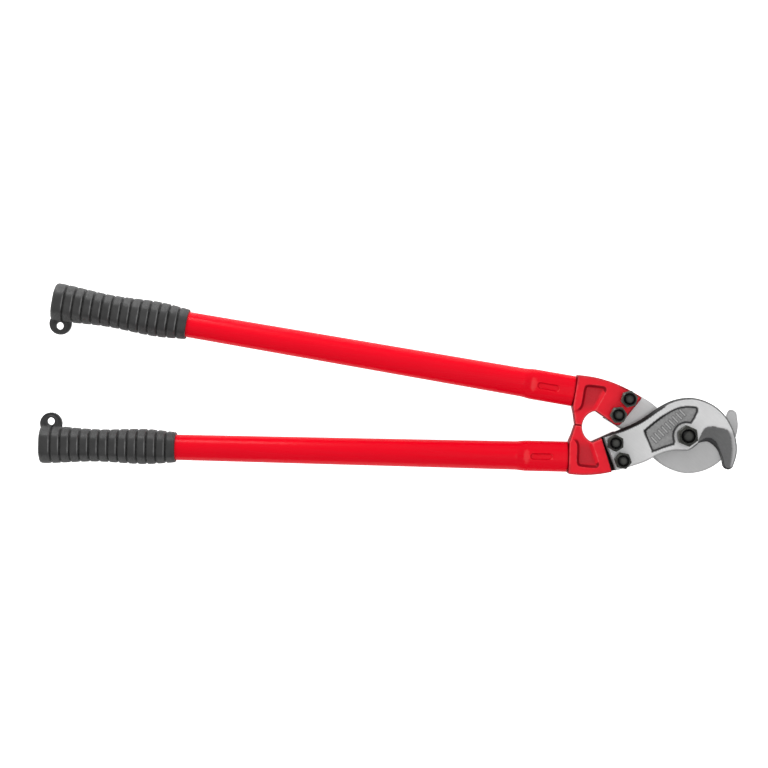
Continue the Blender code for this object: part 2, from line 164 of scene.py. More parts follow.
def smooth(points, steps=8):
    """Catmull-Rom curve: on each span, the four nearest points weighted by cubics of t from 0 to 1."""
    points = np.asarray(points, float)
    padded = np.vstack([points[:1], points, points[-1:]])
    t = np.arange(steps)[None, :, None] / steps
    p, q, r, s = (padded[i : len(padded) - 3 + i, None, :] for i in range(4))
    slope = (r - p) * t
    bend = (2 * p - 5 * q + 4 * r - s) * t**2
    twist = (3 * q - p - 3 * r + s) * t**3
    curve = 0.5 * (2 * q + slope + bend + twist)
    return np.vstack([curve.reshape(-1, points.shape[1]), points[-1:]])


def arc(centre, radius, start, end, steps):
    """Centre plus radius times the cosine and sine of evenly stepped angles, given in degrees."""
    angles = np.radians(np.linspace(start, end, steps + 1))
    return np.stack([centre[0] + radius * np.cos(angles), centre[1] + radius * np.sin(angles)], 1)


def circle(centre, radius, steps=72):
    return arc(centre, radius, 0, 360, steps)[:-1]


def divided(line, longest):
    """The line with points added by straight shares of each step that is longer than longest."""
    reach = np.linalg.norm(np.diff(line, axis=0), axis=1)
    counts = np.maximum(1, np.ceil(reach / longest).astype(int))
    first = np.repeat(np.arange(len(reach)), counts)
    step = np.arange(counts.sum()) - np.repeat(np.cumsum(counts) - counts, counts)
    share = (step / np.repeat(counts, counts))[:, None]
    return np.vstack([line[first] * (1 - share) + line[first + 1] * share, line[-1:]])


def outline(*stretches, longest=1.0):
    """One anticlockwise loop of stretches that follow each other, with even enough steps."""
    line = np.vstack([np.asarray(stretch, float) for stretch in stretches])
    line = line[np.linalg.norm(line - np.roll(line, 1, axis=0), axis=1) > 0.05]
    line = divided(np.vstack([line, line[:1]]), longest)[:-1]
    after = np.roll(line, -1, axis=0)
    area = (line[:, 0] * after[:, 1] - after[:, 0] * line[:, 1]).sum()
    return (line if area > 0 else line[::-1]).astype(np.float32).astype(float)


def inset(loop, distance):
    """Each point moved inwards, at right angles to the line between its two neighbours."""
    along = np.roll(loop, -1, axis=0) - np.roll(loop, 1, axis=0)
    along /= np.linalg.norm(along, axis=1, keepdims=True)
    return loop + distance * np.stack([-along[:, 1], along[:, 0]], 1)


def nearest(points, line, closed=True):
    """Least distance from each point to the straight steps of a line."""
    start = line if closed else line[:-1]
    step = np.roll(line, -1, axis=0) - line if closed else np.diff(line, axis=0)
    from_start = points[:, None, :] - start[None]
    share = np.clip((from_start * step).sum(-1) / (step * step).sum(-1), 0, 1)
    away = from_start - share[..., None] * step
    return np.sqrt((away * away).sum(-1)).min(1)


def inside(points, loop):
    """True where a ray from the point along +X crosses the loop an odd number of times."""
    x, y = points[:, :1], points[:, 1:]
    start_x, start_y = loop.T
    end_x, end_y = np.roll(loop, -1, axis=0).T
    crosses = (start_y > y) != (end_y > y)
    rise = np.where(end_y == start_y, 1.0, end_y - start_y)
    meets = start_x + (y - start_y) * (end_x - start_x) / rise
    return (crosses & (x < meets)).sum(1) % 2 == 1


def depth_in(points, loop):
    """Distance to the loop: positive inside it, negative outside."""
    return np.where(inside(points, loop), 1, -1) * nearest(points, loop)


def ramp(value, start, end):
    """0 up to start, 1 from end on, and 3t^2 - 2t^3 in between."""
    t = np.clip((value - start) / (end - start), 0, 1)
    return t * t * (3 - 2 * t)


def rounding(depth, radius):
    """How far a quarter-round edge has dropped at each depth inside the border."""
    away = 1 - np.clip(depth / radius, 0, 1)
    return radius * (1 - np.sqrt(1 - away * away))


def rounding_lines(loop, radius, steps=4):
    """Inset copies of a loop, at equal angles of its quarter-round edge, for crisp triangles."""
    angles = np.arange(1, steps + 1) / steps * math.pi / 2
    return [(inset(loop, radius * (1 - math.cos(a))), True) for a in angles]


# ------------------------------------------------------------------ surfaces


class Surface:
    """Points in millimetres and the triangles and quads that join them."""

    def __init__(self, points, faces):
        self.points = np.asarray(points, float).reshape(-1, 3)
        self.faces = [np.asarray(f, int) for f in faces if len(f)]


def grid(points, wrap_rows=False, wrap_columns=False):
    """Quads between neighbouring rows and columns of a (rows, columns, 3) array of points."""
    rows, columns = points.shape[:2]
    index = np.arange(rows * columns).reshape(rows, columns)
    if wrap_rows:
        index = np.vstack([index, index[:1]])
    if wrap_columns:
        index = np.hstack([index, index[:, :1]])
    corners = (index[:-1, :-1], index[:-1, 1:], index[1:, 1:], index[1:, :-1])
    return Surface(points, [np.stack(corners, -1).reshape(-1, 4)])


def joined(*surfaces):
    """Several surfaces as one, each one's point numbers moved on by the points before it."""
    starts = np.cumsum([0] + [len(s.points) for s in surfaces])
    faces = [f + start for s, start in zip(surfaces, starts) for f in s.faces]
    return Surface(np.vstack([s.points for s in surfaces]), faces)


def welded(surface):
    """Points that agree to a ten-thousandth of a millimetre become one, and flat faces go."""
    _, first, same = np.unique(
        np.round(surface.points, 4), axis=0, return_index=True, return_inverse=True
    )
    same = same.reshape(-1)
    kept = []
    for corners in surface.faces:
        corners = same[corners]
        doubled = corners == np.roll(corners, -1, axis=1)
        count = doubled.sum(1)
        kept.append(corners[count == 0])
        if corners.shape[1] == 4:
            kept.append(corners[count == 1][~doubled[count == 1]].reshape(-1, 3))
    return Surface(surface.points[first], kept)


def patch(border, holes, lines, spacing, height):
    """Triangles over the area between a border and its holes, at height(points).

    The points are those of the border, the holes and the shape's own lines, and a staggered grid
    in between. Points of a line that come too near the border are left out.
    """
    loops = [border, *holes]
    chains, edges, start = [], [], 0
    for number, (line, closed) in enumerate([(loop, True) for loop in loops] + list(lines)):
        kept = np.ones(len(line), bool)
        if number >= len(loops):
            room = min(0.25, 0.6 * np.median(nearest(line, border)))
            kept = depth_in(line, border) > max(room, 0.02)
            for hole in holes:
                kept &= depth_in(line, hole) < -0.2
        number_of = np.cumsum(kept) - 1 + start
        both = kept & np.roll(kept, -1)
        if not closed:
            both[-1] = False
        pairs = np.stack([number_of, np.roll(number_of, -1)], 1)[both]
        chains.append(line[kept])
        edges.append(pairs)
        start += kept.sum()
    fixed = np.vstack(chains)
    low, high = border.min(0), border.max(0)
    rows = np.arange(low[1], high[1], spacing * 0.866)
    columns = np.arange(low[0], high[0], spacing)
    x, y = np.meshgrid(columns, rows)
    x = x + np.where(np.arange(len(rows)) % 2, spacing / 2, 0)[:, None]
    free = np.stack([x.ravel(), y.ravel()], 1)
    free = free[inside(free, border)]
    for hole in holes:
        free = free[~inside(free, hole)]
    for chain in chains:
        free = free[nearest(free, chain) > 0.45 * spacing]
    points = np.vstack([fixed, free])
    found = delaunay_2d_cdt(points.tolist(), np.vstack(edges).tolist(), [], 0, 1e-5)
    flat = np.array([tuple(v) for v in found[0]])
    faces = np.array(found[2])
    middle = flat[faces].mean(1)
    kept = inside(middle, border)
    for hole in holes:
        kept &= ~inside(middle, hole)
    return Surface(np.column_stack([flat, height(flat)]), [faces[kept]])


def plate(border, holes, upper, lower, upper_lines, lower_lines, spacing, rows=4):
    """A closed plate between two height functions of (x, y), with upright sides and holes."""
    under = patch(border, holes, lower_lines, spacing, lower)
    under.faces = [f[:, ::-1] for f in under.faces]
    parts = [patch(border, holes, upper_lines, spacing, upper), under]
    share = np.linspace(0, 1, rows)[:, None]
    for loop in (border, *[hole[::-1] for hole in holes]):
        z = lower(loop)[None] * (1 - share) + upper(loop)[None] * share
        side = np.stack([np.tile(loop[:, 0], (rows, 1)), np.tile(loop[:, 1], (rows, 1)), z], -1)
        parts.append(grid(side, wrap_columns=True))
    return welded(joined(*parts))


def turned(profile, steps=96, shape=None):
    """A turned piece: each (radius, height) of the profile carried round the Z axis.

    The profile runs so that the piece is on its left. shape gives a share of the radius at each
    angle for the rows that have one, such as a hexagon's.
    """
    angles = np.linspace(0, math.tau, steps, endpoint=False)
    rings = []
    for radius, height, shaped in profile:
        reach = radius * (shape(angles) if shaped else np.ones(steps))
        z = height(reach) if callable(height) else np.full(steps, float(height))
        rings.append(np.stack([reach * np.cos(angles), reach * np.sin(angles), z], -1))
    return np.array(rings)


def hexagon(angles):
    """A hexagon with slightly rounded corners, by a high power norm of its six sides' distances."""
    sides = np.radians(30 + 60 * np.arange(6))
    facing = np.clip(np.cos(angles[:, None] - sides), 0, None)
    return (facing**46).sum(1) ** (-1 / 46)


# ------------------------------------------------------------------ outlines of the forgings


def blade_outline():
    tang_end = [(-71.5, -8.0), (-57.4, -35.8)]
    belly = [(-57.4, -35.8), (-46.6, -31.8), (-33, -25.8), (-23, -19.2), (-11, -14.2), (2.8, -12.8)]
    throat = smooth([(2.8, -12.8), (6.1, -10.5), (10.4, -6.4)])
    mouth = smooth([(10.4, -6.4), (15.8, -4.1), (21, -4), (27.7, -8.7), (31.8, -15.4), (34.2, -22.9)])
    tip = smooth([(34.2, -22.9), (36.2, -25.1), (39.1, -25.5), (42.1, -23.6)])
    back = [(42.1, -23.6), (44.5, -12), (43.2, -1), (38.9, 9.9), (31, 20.6), (19.2, 28.8)]
    heel = [(4, 32.6), (-11.5, 29.8), (-25, 22), (-41, 8.6), (-58.3, -1.4), (-71.5, -8)]
    return outline(tang_end, smooth(belly), throat, mouth, tip, smooth(back + heel))


def panel_outline():
    lower_edge = smooth([(-36.8, 0.7), (-28.6, -15.2), (-26.8, -16.2), (-18.7, -12.2), (-10, -8.6)])
    boss = arc((0, 0), BOSS_RADIUS, 208, 76, 40)
    end = [(2.7, 10.7), (5.4, 16.3), (7.2, 22.8), (3.6, 25.4)]
    upper_edge = [(-9.6, 23.1), (-22.9, 14.2), (-36.8, 0.7)]
    return outline(lower_edge, boss, smooth(end + upper_edge), longest=0.7)


def socket_outline():
    top = smooth([(-97.6, 41.4), (-96, 42.6), (-83.5, 42.2), (-69.5, 39.8), (-55, 35.2), (-43.4, 30)])
    lug_nose = smooth([(-43.4, 30), (-41.8, 28.7), (-42, 27)])
    lug_heel = smooth([(-56.6, 4.9), (-58.6, 3), (-61.6, 3.3)])
    window = arc((-75.6, 0), 14, 106, 179.4, 24)
    arm = [(-95.6, GAP / 2), (-97.6, 9), (-99.4, 15.4)]
    return outline(top, lug_nose, lug_heel, window, arm, longest=0.5)


def pocket_outline():
    """Sunk area of a socket's face: the pocket and, below it, the whole stop arm, past its edges."""
    shoulder = [(-100, 12.2), (-95.8, 13.4), (-93.2, 16.8), (-92.4, 22)]
    rim = [(-91.9, 30), (-91, 33.9), (-88.6, 35.5), (-84, 35.8)]
    corner = [(-77, 35.7), (-73.3, 35), (-71.8, 32.4), (-73, 28.6)]
    round_arm = [(-70, -4), (-104, -4), (-104, 12.2)]
    return outline(smooth(shoulder + rim + corner), SLOPE_LINE, round_arm, longest=0.7)


SLOPE_LINE = np.array([(-73, 28.6), (-79.4, 14.2)])  # foot of the lug's face, along the pocket
BORDER = [(10.2, -2.2), (14, 7.4), (20, 10.4), (28, 9.9), (35.4, 8), (39.2, -1), (40.6, -13), (40, -27)]
CREASE = [(10.4, -5), (15.6, -0.6), (21.5, 0.4), (27.4, -3.2), (30.8, -9.8), (33.6, -17), (36.6, -28)]
EDGE = [(10.2, -6.6), (15.4, -4.3), (21, -4), (26.6, -7.6), (30.6, -12.6), (32.9, -18), (35, -28)]
BORDER_LINE, CREASE_LINE, EDGE_LINE = smooth(BORDER), smooth(CREASE), smooth(EDGE)
CREASE_HEIGHT = 4.2
EDGE_HEIGHT = 1.0
GRIND_START = (9.4, 11.6)  # the grind runs out between these places along X
BAR_LINE = ((-27.4, -6.2), (-5.6, 19.2))  # first and last raised bar of the panel
BAR_SIZE = (1.5, 7.4)
BLADE = blade_outline()
PANEL = panel_outline()
SOCKET = socket_outline()
POCKET = pocket_outline()
STEP_LINE = np.array([(-76.0, 0.5), (-58.5, 42.6)])  # where the lower face steps up to the lug's


# ------------------------------------------------------------------ blade


def blade_holes():
    """Bores for the pivot and the two clamp bolts, as they lie in the front blade."""
    clamps = [circle((x, -y), CLAMP_THREAD / 2 + GAP) for x, y in CLAMP_PLACES]
    return [circle((0, 0), PIVOT_THREAD / 2 + GAP), *clamps]


def grind_shares(points):
    """Shares from 0 to 1 across the wide slope and then across the steep one.

    A share is the distance to the slope's upper line over the sum of the distances to both lines.
    """
    to_border, to_crease, to_edge = (
        nearest(points, line, closed=False) for line in (BORDER_LINE, CREASE_LINE, EDGE_LINE)
    )
    wide = inside(points, np.vstack([BORDER_LINE, CREASE_LINE[::-1]]))
    steep = inside(points, np.vstack([CREASE_LINE, EDGE_LINE[::-1]]))
    mouth = EDGE_LINE + 0.3 * (np.array([(18.0, -25.0)]) - EDGE_LINE)
    beyond = inside(points, np.vstack([EDGE_LINE, mouth[::-1]]))
    first = np.where(wide, to_border / (to_border + to_crease + 1e-9), np.where(steep | beyond, 1.0, 0.0))
    second = np.where(steep, to_crease / (to_crease + to_edge + 1e-9), np.where(beyond, 1.0, 0.0))
    return first, second


def ground_height(points):
    """Straight from the face to the crease, then straight from the crease to the edge."""
    first, second = grind_shares(points)
    drop = first * (BLADE_HIGH - CREASE_HEIGHT) + second * (CREASE_HEIGHT - EDGE_HEIGHT)
    return BLADE_HIGH - drop * ramp(points[:, 0], *GRIND_START)


def bar_places(count):
    """Centres of the bars, evenly along BAR_LINE, and the line's direction."""
    start, end = (np.array(p) for p in BAR_LINE)
    direction = (end - start) / np.linalg.norm(end - start)
    return start + np.linspace(0, 1, count)[:, None] * (end - start), direction


def bar_rise(points, count, wall, foot=0.0):
    """1 on the bars' tops and 0 off them, by the distance inside each bar's rectangle, plus a foot."""
    centres, direction = bar_places(count)
    across = np.array([-direction[1], direction[0]])
    from_centre = points[:, None, :] - centres[None]
    along = np.abs(from_centre @ direction) - BAR_SIZE[0] / 2
    aside = np.abs(from_centre @ across) - BAR_SIZE[1] / 2
    return ramp(-np.maximum(along, aside).min(1), -foot, wall)


def bar_lines(count, wall):
    """Each bar's rectangle at its foot and at its top."""
    centres, direction = bar_places(count)
    across = np.array([-direction[1], direction[0]])
    signs = np.array([(-1, -1), (1, -1), (1, 1), (-1, 1)])
    lines = []
    for centre in centres:
        for edge in (0, wall):
            half = np.array(BAR_SIZE) / 2 - edge
            corners = centre + (signs * half) @ np.array([direction, across])
            lines.append((divided(np.vstack([corners, corners[:1]]), 0.8)[:-1], True))
    return lines


def blade_surface(sizes):
    """Blade between its sliding face and its outer face, which is the lowest of three heights:
    the rounded face, the sunk panel with its bars, and the ground slopes."""
    edge = sizes.edge_width / MM
    wall = sizes.panel_wall / MM
    bar_height = sizes.bar_height / MM

    def outer(points):
        slant = 1 - np.clip(depth_in(points, BLADE) / edge, 0, 1)
        face = BLADE_HIGH - sizes.edge_drop / MM * slant**1.4
        sunk = ramp(depth_in(points, PANEL), 0, wall)
        bars = bar_height * bar_rise(points, sizes.bar_count, SMALL_EDGE)
        panel = BLADE_HIGH - (PANEL_DEPTH - bars) * sunk
        return np.minimum(np.minimum(face, panel), ground_height(points))

    def sliding(points):
        return BLADE_LOW + rounding(depth_in(points, BLADE), SMALL_EDGE)

    lines = [(inset(BLADE, edge * share), True) for share in (0.25, 0.5, 0.75, 1)]
    lines += [(PANEL, True)] + [(inset(PANEL, wall * share), True) for share in (0.33, 0.66, 1)]
    lines += bar_lines(sizes.bar_count, SMALL_EDGE)
    lines += [(divided(line, 0.8), False) for line in (BORDER_LINE, CREASE_LINE, EDGE_LINE)]
    sliding_lines = rounding_lines(BLADE, SMALL_EDGE, 3)
    return plate(BLADE, blade_holes(), outer, sliding, lines, sliding_lines, GRID_STEP)


# Stretches along X or Y over which a finish of the blade comes in: painted shade at the heel and, fainter,
# along the belly, the honed tip, the steep grind, and the darker sliding face.
HEEL_X, HEEL_Y = (-24, -18), (-8, 0)
FAINT_X, FAINT_Y = (0, 12), (-14, -6)
HONED_X, HONED_Y = (33, 38), (5, 9)
STEEP_Y = (-17, -9)
SLIDING_DARK_X = (-40, -15)
SIDE_HEIGHTS = (BLADE_LOW + 0.4, BLADE_HIGH - 0.9)


def blade_masks(points, sizes):
    """Shares of each finish at each point: from the distances inside the outline and the panel, the
    grinds' shares, and stretches along X and Y where the painted shade along an edge is heavier or
    fainter, or an edge is honed. rim is painted shade along the outline and round the panel's border."""
    flat = points[:, :2]
    face = points[:, 2] > 0.5
    depth = depth_in(flat, BLADE)
    sunk = depth_in(flat, PANEL)
    first, second = grind_shares(flat)
    started = ramp(flat[:, 0], *GRIND_START)
    width = sizes.edge_width / MM
    # heel: painted shade, a wider and darker band along the heel's edge.
    heel = (1 - ramp(flat[:, 0], *HEEL_X)) * ramp(flat[:, 1], *HEEL_Y)
    reach = width * (1 + 0.6 * heel)
    # outer_rim: painted shade along the outline, fainter on the belly side; panel_rim: painted shade round
    # the sunk panel's border.
    outer_rim = (1 - ramp(depth, 0.65 * reach, reach)) * np.where(face, 1, 0.2)
    outer_rim *= 1 - 0.45 * (1 - ramp(flat[:, 1], *FAINT_Y)) * (1 - ramp(flat[:, 0], *FAINT_X))
    panel_rim = (1 - ramp(np.abs(sunk - 0.3), 0.55, 1.1)) * face
    honed = ramp(flat[:, 0], *HONED_X) * (1 - ramp(flat[:, 1], *HONED_Y))
    low, high = SIDE_HEIGHTS
    return {
        "cast": ramp(sunk, -0.1, 0.5) * face,
        # bar: painted highlight on the bars' tops; bar_foot: painted shade round their feet.
        "bar": bar_rise(flat, sizes.bar_count, SMALL_EDGE) * face,
        "bar_foot": bar_rise(flat, sizes.bar_count, 0.05, 0.6) * face,
        "ground": np.maximum(ramp(first, 0, 0.05) * started, 0.5 * honed) * face,
        "steep": ramp(second, 0, 0.08) * started * face * ramp(flat[:, 1], *STEEP_Y),
        "heel": heel,
        "side": (depth < 0.02) * (points[:, 2] < high) * (points[:, 2] > low) * 1.0,
        "rim": np.maximum(outer_rim * (1 - 0.5 * ramp(second, 0, 0.3)), panel_rim),
        "sliding": (points[:, 2] < BLADE_LOW + SMALL_EDGE + 0.01) * ramp(flat[:, 0], *SLIDING_DARK_X),
    }


# ------------------------------------------------------------------ socket


# Stretches along X or Y over which the socket's shape, its finish or its painted shade changes.
WIDER_WALL_X = (-84, -77)
ARM_Y = (9, 22)  # the floor deepens from the stop arm's to the pocket's
WALLED_Y = (11.5, 14)
ROUGH_Y = (10, 21)
NOSE_X = (-66, -58)
UPPER_EDGE_Y = 34


def socket_surface(sizes):
    """Socket between two faces with the same pocket: its lower face steps up to the lug's."""
    edge = sizes.edge_round / MM
    wall = sizes.pocket_wall / MM
    drop = sizes.arm_drop / MM
    step = STEP_LINE[1] - STEP_LINE[0]
    across = np.array([step[1], -step[0]]) / np.linalg.norm(step)

    def face(points):
        """Half thickness less the edge's rounding and the sunk area, whose wall is wider at the lug."""
        width = wall * (1 + 0.6 * ramp(points[:, 0], *WIDER_WALL_X))
        floor = drop + (POCKET_DEPTH - drop) * ramp(points[:, 1], *ARM_Y)
        sunk = floor * ramp(depth_in(points, POCKET) / width, 0, 1)
        return SOCKET_HALF - rounding(depth_in(points, SOCKET), edge) - sunk

    def back(points):
        lug = ramp((points - STEP_LINE[0]) @ across, 0, 0.4)
        seat = GAP / 2 + rounding(depth_in(points, SOCKET), 0.4)
        return seat * lug - face(points) * (1 - lug)

    edge_lines = rounding_lines(SOCKET, edge, 5)
    pocket_lines = [(inset(POCKET, wall * share), True) for share in (0, 0.25, 0.5, 0.75, 1)]
    ends = np.array([STEP_LINE[0] - 0.2 * step, STEP_LINE[1] + 0.2 * step])
    step_lines = [(divided(ends + across * shift, 0.6), False) for shift in (0, 0.2, 0.4)]
    holes = [circle(place, CLAMP_THREAD / 2 + GAP) for place in CLAMP_PLACES]
    lines = edge_lines + pocket_lines
    return joined(plate(SOCKET, holes, face, back, lines, lines + step_lines, GRID_STEP), tang_surface())


def tang_surface():
    """Oval bar that goes into the tube, with a tapered end: ovals at stations along the handle."""
    half = np.array(OVAL_HALF) - TUBE_WALL - GAP
    stations = np.array([-6, -6, TANG_LENGTH - 2, TANG_LENGTH, TANG_LENGTH], float)
    shrink = np.array([half, np.zeros(2), np.zeros(2), (1.5, 1.5), half])
    shrink[0] = half - 0.001
    shrink[4] = half - 0.001
    angles = np.linspace(0, math.tau, 64, endpoint=False)
    across = (half[0] - shrink[:, :1]) * np.cos(angles)
    height = (half[1] - shrink[:, 1:]) * np.sin(angles)
    along = np.broadcast_to(stations[:, None], across.shape)
    bar = np.stack([along, across, height], -1)
    bar[0] = (stations[0], 0, 0)
    bar[-1] = (stations[-1], 0, 0)
    tang = welded(grid(bar, wrap_columns=True))
    return Surface(in_tool(tang.points), tang.faces)


def socket_masks(points, sizes):
    """Worn edges, the pocket's floor, and painted shade on its steep walls, along the lug's border, on the
    seat that the blade hides, and on the outer walls."""
    flat = points[:, :2]
    wall = sizes.pocket_wall / MM
    depth = depth_in(flat, SOCKET)
    sunk = depth_in(flat, POCKET)
    step = STEP_LINE[1] - STEP_LINE[0]
    past_step = (flat - STEP_LINE[0]) @ np.array([step[1], -step[0]]) / np.linalg.norm(step)
    on_face = np.abs(points[:, 2]) > SOCKET_HALF - POCKET_DEPTH - 0.5
    pocket = ramp(flat[:, 1], *WALLED_Y) * on_face
    steep = ramp(nearest(flat, SLOPE_LINE, closed=False) - sunk, 0.3, 1.2)
    ridge = 1 - ramp(np.abs(sunk), 0.1, 0.8)
    nose = np.maximum(ramp(flat[:, 0], *NOSE_X), 0.4 * (flat[:, 1] > UPPER_EDGE_Y))
    return {
        "rim": (1 - ramp(np.abs(depth - 0.9), 0.2, 0.8)) * on_face + ridge * (1 - 0.6 * steep) * pocket,
        "cast": ramp(sunk, 0.8 * wall, 1.2 * wall) * ramp(flat[:, 1], *ROUGH_Y) * on_face,
        # wall, nose, seat and outside are painted shade: on the pocket's steep walls, along the lug's border
        # and top edge, on the seat under the blade, and on the outer walls.
        "wall": ramp(sunk, 0.15, 0.7) * (1 - ramp(sunk, 0.75 * wall, 1.1 * wall)) * steep * pocket,
        "nose": (1 - ramp(depth, 1.0, 2.2)) * nose,
        "seat": ramp(past_step, -0.1, 0.1) * (points[:, 2] < 1) * (depth > 0.05),
        "outside": (depth < 0.3) * 1.0,
    }


# ------------------------------------------------------------------ handles


def in_tool(points):
    """Points (along, across, height) of the upper handle, turned and moved into the tool's frame."""
    turn = math.pi - SPLAY
    along, across, height = points.T
    x = TUBE_START[0] + along * math.cos(turn) - across * math.sin(turn)
    y = TUBE_START[1] + along * math.sin(turn) + across * math.cos(turn)
    return np.stack([x, y, height], 1)


def tube_section(distance, angles, shrink=0.0):
    """Superellipse radius: half axes and squareness blend from the pressed end to the round tube."""
    roundness = ramp(distance, FLAT_END, ROUND_FROM)[:, None]
    taper = np.clip((distance - ROUND_FROM) / (GRIP_START - ROUND_FROM), 0, 1)[:, None]
    radius = ROUND_RADIUS[0] + taper * (ROUND_RADIUS[1] - ROUND_RADIUS[0])
    wide = OVAL_HALF[0] + roundness * (radius - OVAL_HALF[0]) - shrink
    deep = OVAL_HALF[1] + roundness * (radius - OVAL_HALF[1]) - shrink
    power = OVAL_POWER - (OVAL_POWER - 2) * roundness
    cosine, sine = np.cos(angles)[None], np.sin(angles)[None]
    reach = (np.abs(cosine / wide) ** power + np.abs(sine / deep) ** power) ** (-1 / power)
    return reach * cosine, reach * sine


def dimple_depth(distance, across):
    """1 on the dimple's floor and 0 off it, by the distance outside a slot with round ends."""
    middle = sum(DIMPLE_SPAN) / 2
    half = (DIMPLE_SPAN[1] - DIMPLE_SPAN[0] - DIMPLE_WIDTH) / 2
    beyond = np.maximum(np.abs(distance - middle) - half, 0)
    return 1 - ramp(np.hypot(beyond, across) - DIMPLE_WIDTH / 2, -0.7, 0.5)


def tube_surface(sizes):
    """Outer sections along the tube, a round lip at each end, and the bore's sections back again."""
    lip = sizes.lip_round / MM
    angles = np.linspace(0, math.tau, 144, endpoint=False)
    turn = np.linspace(0, math.pi / 2, 5)
    start_lip = GAP + lip * (1 - np.cos(turn))
    end_lip = TUBE_LENGTH - lip * (1 - np.cos(turn))[::-1]
    fine = np.arange(GAP + lip + 0.5, FINE_UNTIL, 0.5)
    coarse = np.linspace(FINE_UNTIL + 1, TUBE_LENGTH - lip - 1, 110)
    stations = np.concatenate([start_lip, fine, coarse, end_lip])
    shrink = np.zeros(len(stations))
    shrink[: len(turn)] = lip * (1 - np.sin(turn))
    shrink[-len(turn) :] = lip * (1 - np.sin(turn))[::-1]
    across, height = tube_section(stations, angles, shrink[:, None])
    dent = sizes.dimple_depth / MM * dimple_depth(stations[:, None], across)
    height = np.sign(height) * np.maximum(np.abs(height) - dent, 0)
    outer = np.stack([np.broadcast_to(stations[:, None], across.shape), across, height], -1)
    back = np.array([TUBE_LENGTH, TUBE_LENGTH - 2, GRIP_START, ROUND_FROM, 41, FLAT_END, 20, GAP], float)
    across, height = tube_section(back, angles, TUBE_WALL)
    inner = np.stack([np.broadcast_to(back[:, None], across.shape), across, height], -1)
    return grid(np.vstack([outer, inner]), wrap_rows=True, wrap_columns=True)


def tube_masks(points):
    """Painted highlight at the dimple's near end and on the press's shoulder, painted shade round the
    dimple's other walls, and a dark joint line at the tube's mouth."""
    along, across, _ = points.T
    slot = dimple_depth(along, across)
    wall = 4 * slot * (1 - slot)
    near = 1 - ramp(along, DIMPLE_SPAN[0] + 1, DIMPLE_SPAN[0] + 3.5)
    shoulder = 1 - ramp(np.hypot((along - DIMPLE_SPAN[1] - 3.5) / 4, across / 9), 0.3, 1)
    return {
        # rim: painted highlight; dent: painted shade round the dimple and a dark joint line at the mouth.
        "rim": 2 * wall * near + 1.5 * shoulder,
        "dent": np.maximum(wall * (1 - near), 1 - ramp(along, 0.9, 2.3)),
    }


def grip_half(distance):
    """Half width of the grip at its ridges, read from a smooth curve through GRIP_SWELL."""
    curve = smooth(GRIP_SWELL)
    return np.interp(distance, curve[:, 0], curve[:, 1])


def grip_section(wide, deep, angles):
    """Eight-sided section with soft corners, by a power norm of its sides' distances."""
    cosine, sine = np.cos(angles)[None], np.sin(angles)[None]
    diagonal = 1.06 * math.sqrt(2) * (wide + deep) / 2
    sides = (cosine / wide, sine / deep, (cosine + sine) / diagonal, (cosine - sine) / diagonal)
    reach = sum(np.abs(side) ** GRIP_CORNERS for side in sides) ** (-1 / GRIP_CORNERS)
    return reach * cosine, reach * sine


def groove(share):
    """Groove between ridges: deepest where a ridge starts, steep on that side and gentle on the other."""
    return (1 - ramp(share, 0, GROOVE_SHARE)) + ramp(share, 0.78, 1.0)


def grip_surface(sizes):
    """Bore, mouth lip, ridged sleeve and rounded end, all as eight-sided sections along the handle."""
    angles = np.linspace(0, math.tau, 112, endpoint=False)
    steep_side = np.linspace(0, GROOVE_SHARE, 5)
    shares = np.append(steep_side, [0.22, 0.34, 0.48, 0.62, 0.72, 0.8, 0.86, 0.91, 0.955])
    end_round = sizes.end_round / MM
    stations = ((np.arange(RIDGES)[:, None] + shares[None]) * RIDGE_PITCH).ravel()
    stations = stations[stations < GRIP_LENGTH - end_round]
    turn = np.linspace(0, math.pi / 2, 8)
    ending = GRIP_LENGTH - end_round * (1 - np.sin(turn))
    share = stations / RIDGE_PITCH % 1
    depth = sizes.groove_depth / MM * groove(share) + RIDGE_CROWN * (2 * share - 1) ** 2
    lip = GROOVE_SHARE * RIDGE_PITCH
    mouth = stations < lip
    depth[mouth] = MOUTH_ROUND * (1 - np.sqrt(np.clip(1 - (1 - stations[mouth] / lip) ** 2, 0, 1)))
    stations = np.concatenate([stations, ending])
    depth = np.concatenate([depth, 0.1 + end_round * (1 - np.cos(turn))])
    half = grip_half(stations)
    wide = (half - depth)[:, None]
    deep = (GRIP_LEAST_HALF + GRIP_DEPTH_SHARE * (half - GRIP_LEAST_HALF) - depth)[:, None]
    across, height = grip_section(wide, deep, angles)
    along = np.broadcast_to(stations[:, None], across.shape)
    outer = np.stack([along, across, height], -1)
    bore = ROUND_RADIUS[1] + GAP
    reach = np.array([0, bore, bore, bore + 0.5])[:, None]
    floor = GRIP_LENGTH - GRIP_END_WALL
    places = np.array([floor, floor, 0.5, 0.0])[:, None]
    inner_across, inner_height = reach * np.cos(angles), reach * np.sin(angles)
    inner = np.stack([np.broadcast_to(places, inner_across.shape), inner_across, inner_height], -1)
    cap = np.stack([np.full_like(angles, GRIP_LENGTH), 0 * angles, 0 * angles], -1)[None]
    rings = [inner, outer]
    rings += [outer[-1:] * np.array([1, shrink, shrink]) for shrink in (0.66, 0.33)]
    sleeve = welded(grid(np.vstack([*rings, cap]), wrap_columns=True))
    return joined(sleeve, ear_surface())


